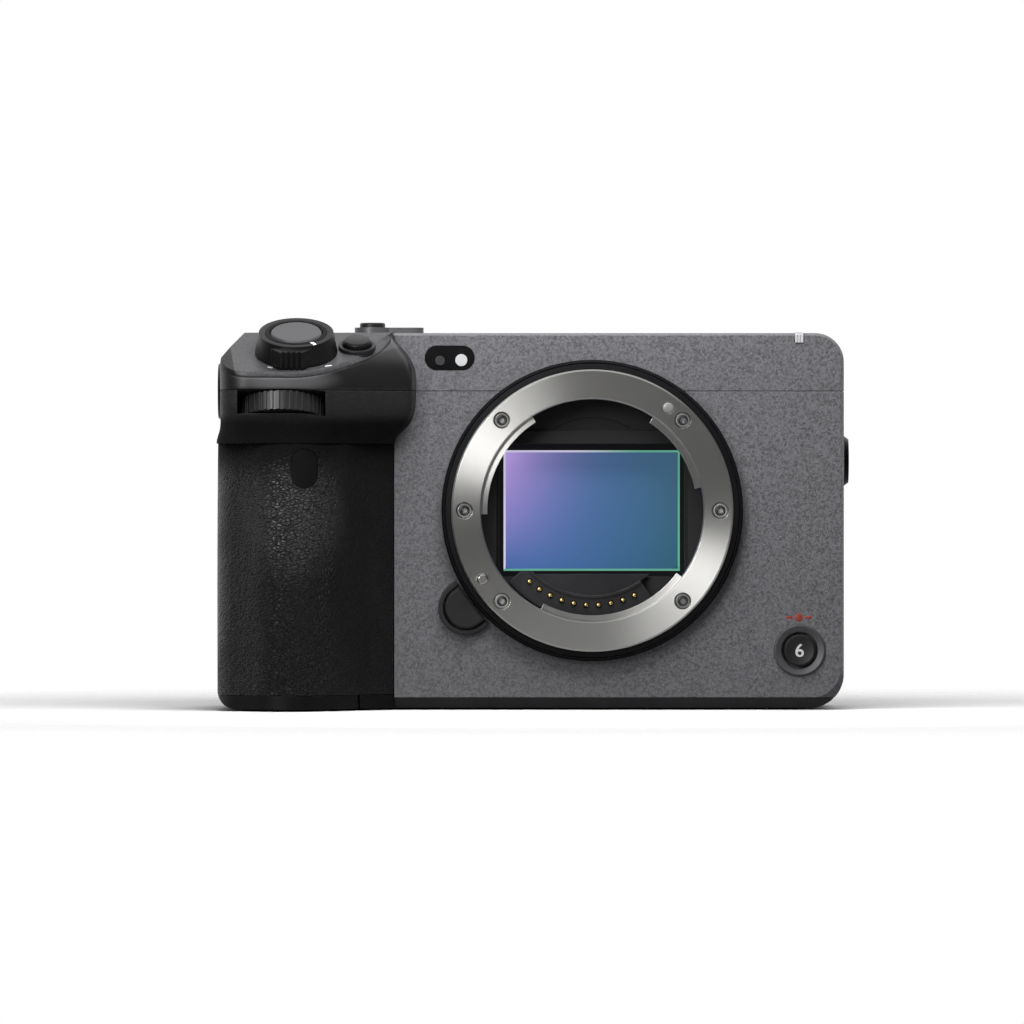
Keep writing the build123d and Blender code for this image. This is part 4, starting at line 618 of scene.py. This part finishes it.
CONTROL_TOP = Finish("control_top", (0.066, 0.065, 0.069), 0.36, metallic=0.3, grain_size=0.12, relief=0.005,
                     variation=0.06, edge=0.25)
CONTROL_BLACK = Finish("control_black", (0.016, 0.016, 0.0165), 0.36, grain_size=0.2, relief=0.006, edge=0.12,
                       specular=0.3)
DIAL_BLACK = Finish("dial_black", (0.016, 0.016, 0.0165), 0.34, grain_size=0.2, relief=0.004, edge=0.12,
                    specular=0.6)
GLOSS_BLACK = Finish("gloss_black", (0.008, 0.008, 0.009), 0.5, grain=Grain.PLAIN, edge=0.1, specular=0.07)
MOUNT_STEEL = Finish("turned_steel", (0.63, 0.625, 0.605), 0.3, metallic=1.0, grain=Grain.TURNED, grain_size=0.06,
                     variation=0.05, wear=0.0, edge=0.12, stretch=0.92)
BRIGHT_STEEL = Finish("bright_steel", (0.62, 0.61, 0.60), 0.24, metallic=1.0, grain_size=0.1, relief=0.002,
                      variation=0.08, wear=0.0)
SCREW_STEEL = ZonedFinish("screw_steel", (0.50, 0.50, 0.49), 0.36, metallic=1.0, grain=Grain.PLAIN, wear=0.0,
                          edge=0.04, other_color=(0.05, 0.05, 0.05), across=(0.0, 0.0, 1.0), low=5.0)
SOCKET_STEEL = ZonedFinish("socket_steel", (0.42, 0.42, 0.43), 0.34, metallic=1.0, grain_size=0.1, relief=0.003,
                           wear=0.0, other_color=(0.012, 0.012, 0.013), low=-75.4, high=52.4)
DARK_STEEL = Finish("dark_steel", (0.08, 0.08, 0.085), 0.36, metallic=0.9, grain_size=0.15, relief=0.004, wear=0.5)
FLOCK = Finish("chamber_black", (0.018, 0.018, 0.0185), 0.6, grain_size=0.2, wear=0.0, edge=0.2, specular=0.25)
CONTACT_PLASTIC = Finish("contact_plastic", (0.014, 0.0135, 0.016), 0.42, grain_size=0.2, relief=0.006, edge=0.2,
                         specular=0.4)
GOLD = Finish("gilt", (0.86, 0.66, 0.28), 0.24, metallic=1.0, grain=Grain.PLAIN, wear=0.0)
ALLOY = Finish("bare_alloy", (0.55, 0.55, 0.57), 0.38, metallic=1.0, grain_size=0.2, relief=0.004)
CAST_ALLOY = Finish("cast_alloy", (0.22, 0.22, 0.23), 0.5, metallic=0.8, grain_size=0.5, relief=0.03)
LACQUER = Finish("shutter_lacquer", (0.008, 0.008, 0.0085), 0.5, grain_size=0.2, relief=0.004, specular=0.3)
BOARD = Finish("board_green", (0.015, 0.10, 0.045), 0.35, grain_size=0.4, relief=0.01, wear_color=(0.5, 0.42, 0.2))
PLASTIC = Finish("inner_plastic", (0.02, 0.02, 0.021), 0.5, grain_size=0.3, relief=0.015)
SENSOR = SensorFinish("sensor_glass", (0.06, 0.15, 0.40), 0.3, grain=Grain.PLAIN, variation=0.0, wear=0.0,
                      edge=0.05, specular=0.2)
WINDOW = Finish("smoked_window", (0.005, 0.005, 0.0055), 0.3, grain=Grain.PLAIN, wear=0.0, specular=0.15, edge=0.1)
LAMP = ZonedFinish("lamp_milk", (0.55, 0.56, 0.57), 0.3, grain=Grain.PLAIN, wear=0.0, variation=0.03,
                   other_color=(0.04, 0.04, 0.045), low=-29.3)
SCREEN = Finish("screen_glass", (0.004, 0.004, 0.0045), 0.08, grain=Grain.PLAIN, wear=0.0, edge=0.3)
WHITE_INK = Finish("white_ink", (0.70, 0.70, 0.70), 0.5, grain_size=0.2, relief=0.002, variation=0.04, wear=0.0,
                   edge=0.02)
PEARL = Finish("index_pearl", (0.24, 0.24, 0.235), 0.3, grain=Grain.PLAIN, variation=0.04, wear=0.0, edge=0.1)
RED_INK = Finish("red_ink", (0.30, 0.040, 0.022), 0.5, grain_size=0.2, relief=0.002, variation=0.08, wear=0.0,
                 edge=0.02)
FOOT_RUBBER = Finish("foot_rubber", (0.012, 0.012, 0.012), 0.7, grain_size=0.3, wear=0.0, specular=0.3)


def place_piece(shape: BMesh, name: str, place: Matrix, finish: Finish = WHITE_INK,
                body: str = "camera_body") -> None:
    """Turn a bmesh made in millimetres into a piece that rides on a body, by default a white mark.

    Args:
        shape: the bmesh, which is freed.
        name: the piece's name.
        place: where it goes, in millimetres.
        finish: its finish.
        body: the CAD body that it rides on.
    """
    bmesh.ops.transform(shape, matrix=Matrix.Scale(MM, 4) @ place, verts=shape.verts)
    bmesh.ops.recalc_face_normals(shape, faces=shape.faces)
    mesh = bpy.data.meshes.new(name)
    shape.to_mesh(mesh)
    shape.free()
    mesh.shade_smooth()
    mesh.set_sharp_from_angle(angle=SHARP_ANGLE)
    piece = bpy.data.objects.new(name, mesh)
    bpy.context.scene.collection.objects.link(piece)
    mesh.materials.append(finish.material())
    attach(piece, body)
    log.info("%s: %d faces on %s", name, len(mesh.polygons), body)


def soften(shape: BMesh, width: float) -> None:
    """Bevel the sharp edges of a bmesh.

    Args:
        shape: the bmesh.
        width: the bevel's width.
    """
    sharp = [e for e in shape.edges if len(e.link_faces) == 2 and e.calc_face_angle(0) > BEVEL_ANGLE]
    bmesh.ops.bevel(shape, geom=sharp, offset=width, offset_type="OFFSET", segments=2, profile=0.5,
                    affect="EDGES", material=-1, clamp_overlap=True)


def plate(radius: float, thickness: float, edge: float = 0.0, corners: int = CIRCLE_STEPS) -> BMesh:
    """A flat plate on the xy plane: a disc, or with three corners a wedge that points along +y.

    Args:
        radius: the radius of its corners' circle.
        thickness: its thickness.
        edge: the bevel of its rims, or 0 for none.
        corners: how many corners it has.

    Returns:
        The bmesh.
    """
    shape = bmesh.new()
    bmesh.ops.create_circle(shape, cap_ends=True, radius=radius, segments=corners)
    grown = bmesh.ops.extrude_face_region(shape, geom=list(shape.faces))
    verts = [g for g in grown["geom"] if isinstance(g, BMVert)]
    bmesh.ops.translate(shape, vec=(0, 0, thickness), verts=verts)
    if edge:
        soften(shape, edge)
    return shape


def dome(radius: float, height: float) -> BMesh:
    """A flattened ball round the origin, whose lower half sinks into what carries it.

    Args:
        radius: its radius.
        height: how high it stands.

    Returns:
        The bmesh.
    """
    shape = bmesh.new()
    bmesh.ops.create_uvsphere(shape, u_segments=40, v_segments=20, radius=radius)
    bmesh.ops.scale(shape, vec=(1, 1, height / radius), verts=shape.verts)
    return shape


def pad(width: float, length: float, thickness: float, edge: float) -> BMesh:
    """A small rectangular plate with softened edges.

    Args:
        width: its size along x.
        length: its size along y.
        thickness: its size along z, from 0 up.
        edge: the bevel.

    Returns:
        The bmesh.
    """
    shape = bmesh.new()
    bmesh.ops.create_cube(shape, size=1.0)
    bmesh.ops.scale(shape, vec=(width, length, thickness), verts=shape.verts)
    bmesh.ops.translate(shape, vec=(0, 0, thickness / 2), verts=shape.verts)
    soften(shape, edge)
    return shape


def ring(inner: float, outer: float, thickness: float, edge: float) -> BMesh:
    """A flat ring on the xy plane.

    Args:
        inner: its inner radius.
        outer: its outer radius.
        thickness: its thickness.
        edge: the bevel.

    Returns:
        The bmesh.
    """
    shape = bmesh.new()
    section = ((inner, 0, 0), (outer, 0, 0), (outer, 0, thickness), (inner, 0, thickness))
    corners = [shape.verts.new(point) for point in section]
    loop = [shape.edges.new((corners[i - 1], corners[i])) for i in (1, 2, 3, 0)]
    bmesh.ops.spin(shape, geom=corners + loop, cent=(0, 0, 0), axis=(0, 0, 1), angle=math.tau, steps=CIRCLE_STEPS,
                   use_merge=True)
    soften(shape, edge)
    return shape


def facing(side: Side, x: float, y: float, z: float, turn: float = 0.0) -> Matrix:
    """The place of a shape made on the xy plane that looks to a side, with a turn about its normal in degrees."""
    return Matrix.Translation((x, y, z)) @ TURNS[side] @ Matrix.Rotation(math.radians(turn), 4, "Z")


def on_deck(x: float, y: float, above: float, turn: float = 0.0) -> Matrix:
    """A place on the grip's sloping deck.

    Args:
        x: the place along x.
        y: the place along y.
        above: the height above the deck, square to it.
        turn: a turn about the deck's normal, in degrees.

    Returns:
        The matrix, in millimetres.
    """
    z = DECK_LIP[1] + math.tan(DECK_SLOPE) * (y - DECK_LIP[0])
    lift = Vector((0, -math.sin(DECK_SLOPE), math.cos(DECK_SLOPE))) * above
    return facing(Side.DECK, x, y + lift.y, z + lift.z, turn)


class Assembly:
    """A sub-assembly: the CAD nodes that each finish goes on, and the pieces that are added."""

    looks: tuple[tuple, ...] = ()

    def build(self) -> None:
        """Dress the CAD nodes and add the other pieces."""
        for finish, *nodes in self.looks:
            for name in nodes:
                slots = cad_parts[name].data.materials
                slots.clear()
                slots.append(finish.material())
            log.info("%s on %s", finish.name, ", ".join(nodes))
        self.add_pieces()

    def add_pieces(self) -> None:
        """Add nothing, where a sub-assembly has no pieces beside its CAD nodes."""


@dataclass
class Covers(Assembly):
    """The painted shell, with the sensor plane's mark printed on it."""

    looks = ((PAINT, "front_panel", "top_cover", "rear_cover"), (BASE_PAINT, "bottom_cover"))
    mark_x: float = -20.5
    mark_y: float = 0.0
    mark_ring: Span = (0.85, 1.1)
    mark_line: Span = (3.6, 0.25)

    def add_pieces(self) -> None:
        """Print the sensor plane's mark."""
        place = facing(Side.TOP, self.mark_x, self.mark_y, TOP)
        place_piece(ring(*self.mark_ring, INK, INK_EDGE), "plane_mark_ring", place)
        place_piece(pad(*self.mark_line, INK, INK_EDGE), "plane_mark_line", place)


@dataclass
class HandGrip(Assembly):
    """The handle, its shelf and the sloping deck. A zoom mark is its width, its place and its turn."""

    looks = ((PLASTIC, "grip_shell"), (LEATHER, "grip_skin"), (REST_RUBBER, "grip_front_rest"),
             (HOUSING, "grip_top_housing"), (GRIP_DECK, "grip_control_deck"), (WINDOW, "front_windows"),
             (LAMP, "lamp_lenses"))
    left_mark: Sizes = (1.1, -66.2, -33.9, -20)
    right_mark: Sizes = (1.5, -54.3, -33.1, 20)
    mark_section: Sizes = (0.45, 0.04, 0.01)
    above_deck: float = 0.01

    def add_pieces(self) -> None:
        """Print the zoom marks on the deck."""
        for side, (width, x, y, turn) in (("left", self.left_mark), ("right", self.right_mark)):
            place_piece(pad(width, *self.mark_section), f"zoom_mark_{side}", on_deck(x, y, self.above_deck, turn))


@dataclass
class LensMount(Assembly):
    """The bayonet ring, the throat behind it and the lens release."""

    looks = ((MOUNT_STEEL, "lens_mount_ring"), (GLOSS_BLACK, "mount_trim_ring"), (FLOCK, "light_chamber"),
             (CONTACT_PLASTIC, "contact_block"), (GOLD, "contact_pins"), (BRIGHT_STEEL, "lock_pin"),
             (CONTROL_BLACK, "lens_release_button"), (BEZEL_PAINT, "button_bezels"))
    dot_circle: float = 26.4
    dot_angle: float = 53.6
    dot_radius: float = 1.18
    dot_height: float = 0.32
    dot_sunk: float = 0.2
    screw_circle: float = 26.45
    screw_angles: tuple[int, ...] = (0, 45, 135, 180, 225, 315)
    recess_shade: Sizes = (0.55, 1.12, 0.03, 0.008)
    recess_shade_sunk: float = 0.25

    def add_pieces(self) -> None:
        """Ring the screws with dark rings as painted shade round each cross, and set the alignment dot."""
        # Painted shade: a dark ring on each screw head stands in for the shade round its cross.
        for angle in self.screw_angles:
            place_piece(ring(*self.recess_shade), f"screw_recess_shade_{angle}",
                        self.on_flange(self.screw_circle, angle, self.recess_shade_sunk), DARK_STEEL)
        place_piece(dome(self.dot_radius, self.dot_height), "index_dot",
                    self.on_flange(self.dot_circle, self.dot_angle, self.dot_sunk), PEARL)

    def on_flange(self, circle: float, angle: float, sunk: float) -> Matrix:
        """A place behind the mount's face, at a distance from the lens axis and an angle from +X in degrees."""
        turn = math.radians(angle)
        return facing(Side.FRONT, circle * math.cos(turn), FLANGE + sunk, AXIS_HEIGHT + circle * math.sin(turn))


@dataclass
class SensorUnit(Assembly):
    """The imager, its shift stage and the shutter."""

    looks = ((SENSOR, "sensor_stack"), (ALLOY, "shift_frame", "sensor_base_plate", "heat_sink"),
             (FLOCK, "sensor_carrier"), (LACQUER, "shutter_frame", "shutter_blade_1", "shutter_blade_2"))


@dataclass
class FrontControls(Assembly):
    """The record button with its numeral and the red mark over it."""

    looks = ((CONTROL_BLACK, "front_record_button"),)
    x: float = 42.97
    z: float = 11.95
    cap_height: float = 0.72
    numeral_height: float = 2.75
    font_share: float = 0.7
    numeral_relief: float = 0.05
    numeral_weight: float = 0.05
    weld_reach: float = 0.0005
    mark_left: float = 0.2
    mark_z: float = 18.75
    dot_radius: float = 0.85
    bar: Span = (1.5, 0.55)
    bar_aside: float = 1.95

    def add_pieces(self) -> None:
        """Set the button's numeral and print the mark."""
        self.numeral()
        for name, shape, aside in (("dot", plate(self.dot_radius, INK, INK_EDGE), 0.0),
                                   ("left", pad(*self.bar, INK, INK_EDGE), -self.bar_aside),
                                   ("right", pad(*self.bar, INK, INK_EDGE), self.bar_aside)):
            place = facing(Side.FRONT, self.x - self.mark_left + aside, FACE, self.mark_z)
            place_piece(shape, f"record_mark_{name}", place, RED_INK)

    def numeral(self) -> None:
        """Set the plain numeral on the button's cap."""
        curve = bpy.data.curves.new("numeral_outline", "FONT")
        curve.body = "6"
        curve.size = self.numeral_height / self.font_share
        curve.extrude = self.numeral_relief
        curve.offset = self.numeral_weight
        holder = bpy.data.objects.new("numeral_outline", curve)
        mesh = bpy.data.meshes.new_from_object(holder)
        shape = bmesh.new()
        shape.from_mesh(mesh)
        bpy.data.objects.remove(holder)
        bpy.data.curves.remove(curve)
        bpy.data.meshes.remove(mesh)
        bmesh.ops.remove_doubles(shape, verts=shape.verts, dist=self.weld_reach)
        low = Vector(map(min, *(v.co for v in shape.verts)))
        high = Vector(map(max, *(v.co for v in shape.verts)))
        middle = (low + high) / 2
        bmesh.ops.translate(shape, vec=(-middle.x, -middle.y, 0), verts=shape.verts)
        place_piece(shape, "record_numeral", facing(Side.FRONT, self.x, FACE - self.cap_height, self.z),
                    body="front_record_button")


@dataclass
class TopControls(Assembly):
    """The levers, dials and buttons on the grip and on the top."""

    looks = ((CONTROL_PAINT, "zoom_lever", "deck_button"), (LEVER_PAINT, "power_lever"),
             (CONTROL_TOP, "shutter_button"), (DIAL_BLACK, "front_dial", "rear_dial"),
             (CONTROL_BLACK, "power_button"))
    zoom_x: float = -61.0
    zoom_y: float = -26.75
    rim_height: float = 4.5
    index_angle: float = -58.0
    index_circle: float = 6.95
    index: Sizes = (1.5, 0.75, 0.06, 0.02)
    groove_shade: Sizes = (5.52, 6.45, 0.04, 0.01)
    button_x: float = -48.5
    button_y: float = -24.7
    collar: Sizes = (3.12, 3.88, 0.88, 0.2)
    cap: Sizes = (2.6, 0.08, 0.03)
    cap_height: float = 1.9

    def add_pieces(self) -> None:
        """Set the zoom lever's index, a dull black ring as painted shade in the channel round the shutter button,
        and the deck button's collar and cap.
        """
        turn = math.radians(self.index_angle)
        place = on_deck(self.zoom_x + self.index_circle * math.cos(turn),
                        self.zoom_y + self.index_circle * math.sin(turn) * math.cos(DECK_SLOPE),
                        self.rim_height, self.index_angle)
        place_piece(pad(*self.index), "zoom_index", place, body="zoom_lever")
        # Painted shade: a dull black ring stands in for the shade in the channel round the shutter button.
        place_piece(ring(*self.groove_shade), "zoom_groove_shade", on_deck(self.zoom_x, self.zoom_y, self.rim_height),
                    GLOSS_BLACK, "zoom_lever")
        place_piece(ring(*self.collar), "button_collar", on_deck(self.button_x, self.button_y, 0.0),
                    CONTROL_BLACK)
        place_piece(plate(*self.cap), "deck_button_cap", on_deck(self.button_x, self.button_y, self.cap_height),
                    CONTROL_BLACK, "deck_button")


@dataclass
class RearControls(Assembly):
    """The wheel, the stick and the buttons beside the monitor."""

    looks = ((CONTROL_BLACK, "control_wheel", "select_button", "joystick", "joystick_gimbal", "rear_button_1",
              "rear_button_2"),)
    wheel_x: float = -55.45
    wheel_z: float = 24.9
    wheel_height: float = 1.4
    mark_circle: float = 10.4
    mark_radius: float = 0.682

    def add_pieces(self) -> None:
        """Print the wheel's four marks."""
        for index in range(4):
            angle = 90 * index
            x = self.wheel_x + self.mark_circle * math.cos(math.radians(angle))
            z = self.wheel_z + self.mark_circle * math.sin(math.radians(angle))
            place_piece(plate(self.mark_radius, INK, corners=3), f"wheel_mark_{index + 1}",
                        facing(Side.REAR, x, REAR + self.wheel_height, z, 180 - angle), body="control_wheel")


@dataclass
class Monitor(Assembly):
    """The monitor, its arm and its hinge."""

    looks = ((MONITOR_PAINT, "monitor_shell"), (SCREEN, "monitor_screen"), (BASE_PAINT, "monitor_arm"),
             (DARK_STEEL, "monitor_hinge"))


@dataclass
class Doors(Assembly):
    """The doors over the battery, the cards and the sockets."""

    looks = ((GLOSS_BLACK, "battery_door"), (CONTROL_BLACK, "battery_door_latch"), (PAINT, "card_door"),
             (DOOR_RUBBER, "port_door_1", "port_door_2"))


@dataclass
class Internals(Assembly):
    """What the covers hide."""

    looks = ((CAST_ALLOY, "chassis"), (PLASTIC, "fan_housing", "fan_rotor", "battery_pack", "card_slots"),
             (BOARD, "circuit_boards"))


@dataclass
class Fittings(Assembly):
    """The accessory shoe, the thread bushes, the feet and the screws."""

    looks = ((DARK_STEEL, "accessory_shoe"), (SOCKET_STEEL, "thread_bushes"), (FOOT_RUBBER, "rubber_feet"),
             (SCREW_STEEL, "case_screws"))
    shoe_floor: float = 74.2
    contact_count: int = 5
    contact_x: float = -4.4
    contact_pitch: float = 2.2
    contact_y: Span = (13.4, 17.0)
    contact: Sizes = (0.55, 0.12, 0.04)

    def add_pieces(self) -> None:
        """Set the shoe's contacts."""
        for index in range(self.contact_count):
            place = facing(Side.TOP, self.contact_x + self.contact_pitch * index, self.contact_y[index % 2],
                           self.shoe_floor)
            place_piece(plate(*self.contact), f"shoe_contact_{index + 1}", place, GOLD)


@dataclass(frozen=True)
class Lamp:
    """A soft square lamp that looks at the object and lights its surfaces, their gloss or both."""

    name: str
    place: tuple[float, float, float]
    size: float
    power: float
    diffuse: bool = False
    glossy: bool = False


@dataclass
class Studio:
    """The floor, the lamps, the white surroundings and the camera."""

    floor_z: float = -0.4
    floor_radius: float = 260.0
    floor_steps: int = 96
    floor_fade: Span = (0.45, 0.98)
    floor_seen: Color = (0.93, 0.93, 0.93)
    floor_bounced: Color = (0.2, 0.2, 0.2)
    floor_mirrored: Color = (0.35, 0.35, 0.35)
    distance: float = 2000.0
    view_x: float = -16.6
    view_z: float = 40.6
    frame_width: float = 212.14
    film_width: float = 36.0
    clip: Span = (0.05, 20.0)
    sky_rise: Span = (-0.7, 0.9)
    ambient: Span = (0.03, 0.31)
    back_rise: Span = (-0.05, 0.5)
    dark_front: float = 0.12
    roof_rise: Span = (0.55, 0.95)
    overhead: float = 0.7
    lamps: tuple[Lamp, ...] = (
        Lamp("key_lamp", (-780, -1500, 490), 480, 12.0, glossy=True),
        Lamp("sheen_lamp", (-640, -1400, 960), 700, 8.0, glossy=True),
        Lamp("front_lamp", (-780, -1500, 490), 600, 0.48, diffuse=True),
        Lamp("top_lamp", (-14, -112, 190), 130, 0.50, diffuse=True),
        Lamp("rear_lamp", (200, 1100, 500), 700, 11.0, diffuse=True),
    )

    def build(self) -> None:
        """Set up everything round the object."""
        self.floor()
        self.world()
        for lamp in self.lamps:
            self.hang(lamp)
        self.camera()

    def floor(self) -> None:
        """A pale floor that fades into the white surroundings and keeps the shadow."""
        shape = bmesh.new()
        bmesh.ops.create_circle(shape, cap_ends=True, radius=self.floor_radius * MM, segments=self.floor_steps)
        mesh = bpy.data.meshes.new("floor")
        shape.to_mesh(mesh)
        shape.free()
        mesh.transform(Matrix.Translation((0, 0, self.floor_z * MM)))
        floor = bpy.data.objects.new("floor", mesh)
        bpy.context.scene.collection.objects.link(floor)
        material = bpy.data.materials.new("floor_white")
        material.use_nodes = True
        graph = Graph(material.node_tree)
        shader = material.node_tree.nodes["Principled BSDF"]
        rays = graph.node("LightPath")
        color = graph.mix(rays.outputs["Is Diffuse Ray"], self.floor_seen, self.floor_bounced)
        graph.link(graph.mix(rays.outputs["Is Glossy Ray"], color, self.floor_mirrored), shader.inputs["Base Color"])
        shader.inputs["Roughness"].default_value = 0.9
        shader.inputs["Specular IOR Level"].default_value = 0.0
        away = graph.vector("LENGTH", graph.place).outputs["Value"]
        near, far = (self.floor_radius * share * MM for share in self.floor_fade)
        graph.link(graph.remap(away, near, far, 1.0, 0.0), shader.inputs["Alpha"])
        mesh.materials.append(material)

    def world(self) -> None:
        """White to the camera and from behind in reflections, and a plain level of light otherwise."""
        world = bpy.data.worlds.new("studio")
        bpy.context.scene.world = world
        world.use_nodes = True
        graph = Graph(world.node_tree)
        background = world.node_tree.nodes["Background"]
        rays = graph.node("LightPath")
        way = graph.node("SeparateXYZ", {0: graph.node("TexCoord").outputs["Generated"]})
        seen = graph.math("MAXIMUM", rays.outputs["Is Camera Ray"], rays.outputs["Is Transmission Ray"])
        sky = graph.remap(way.outputs["Z"], *self.sky_rise, *self.ambient)
        behind = graph.remap(way.outputs["Y"], *self.back_rise, self.dark_front, 1.0)
        above = graph.remap(way.outputs["Z"], *self.roof_rise, 0.0, self.overhead)
        strength = graph.mix_values(rays.outputs["Is Glossy Ray"], graph.mix_values(seen, sky, 1.0),
                                    graph.math("MAXIMUM", behind, above))
        background.inputs["Color"].default_value = (1, 1, 1, 1)
        graph.link(strength, background.inputs["Strength"])

    def hang(self, lamp: Lamp) -> None:
        """Hang a lamp and aim it at the object.

        Args:
            lamp: what it is like.
        """
        data = bpy.data.lights.new(lamp.name, "AREA")
        data.shape = "SQUARE"
        data.size = lamp.size * MM
        data.energy = lamp.power
        holder = bpy.data.objects.new(lamp.name, data)
        bpy.context.scene.collection.objects.link(holder)
        holder.location = Vector(lamp.place) * MM
        aim = Vector((self.view_x, 0, self.view_z)) * MM - holder.location
        holder.rotation_euler = aim.to_track_quat("-Z", "Y").to_euler()
        holder.visible_diffuse = lamp.diffuse
        holder.visible_glossy = lamp.glossy

    def camera(self) -> None:
        """The level camera of the photograph."""
        data = bpy.data.cameras.new("camera")
        data.sensor_width = self.film_width
        data.lens = self.film_width * self.distance / self.frame_width
        data.clip_start, data.clip_end = self.clip
        camera = bpy.data.objects.new("camera", data)
        bpy.context.scene.collection.objects.link(camera)
        camera.location = Vector((self.view_x, FACE - self.distance, self.view_z)) * MM
        camera.rotation_euler = (math.radians(90), 0, 0)
        bpy.context.scene.camera = camera


def main() -> None:
    """Build the sub-assemblies in order and log each one as it is built."""
    logging.basicConfig(level=logging.INFO, format="%(message)s")
    bpy.context.scene.view_settings.view_transform = "Standard"
    for part in (Covers(), HandGrip(), LensMount(), SensorUnit(), FrontControls(), TopControls(), RearControls(),
                 Monitor(), Doors(), Internals(), Fittings(), Studio()):
        part.build()
        log.info("built %s", type(part).__name__)
    bpy.context.view_layer.update()


if __name__ == "__main__":
    main()
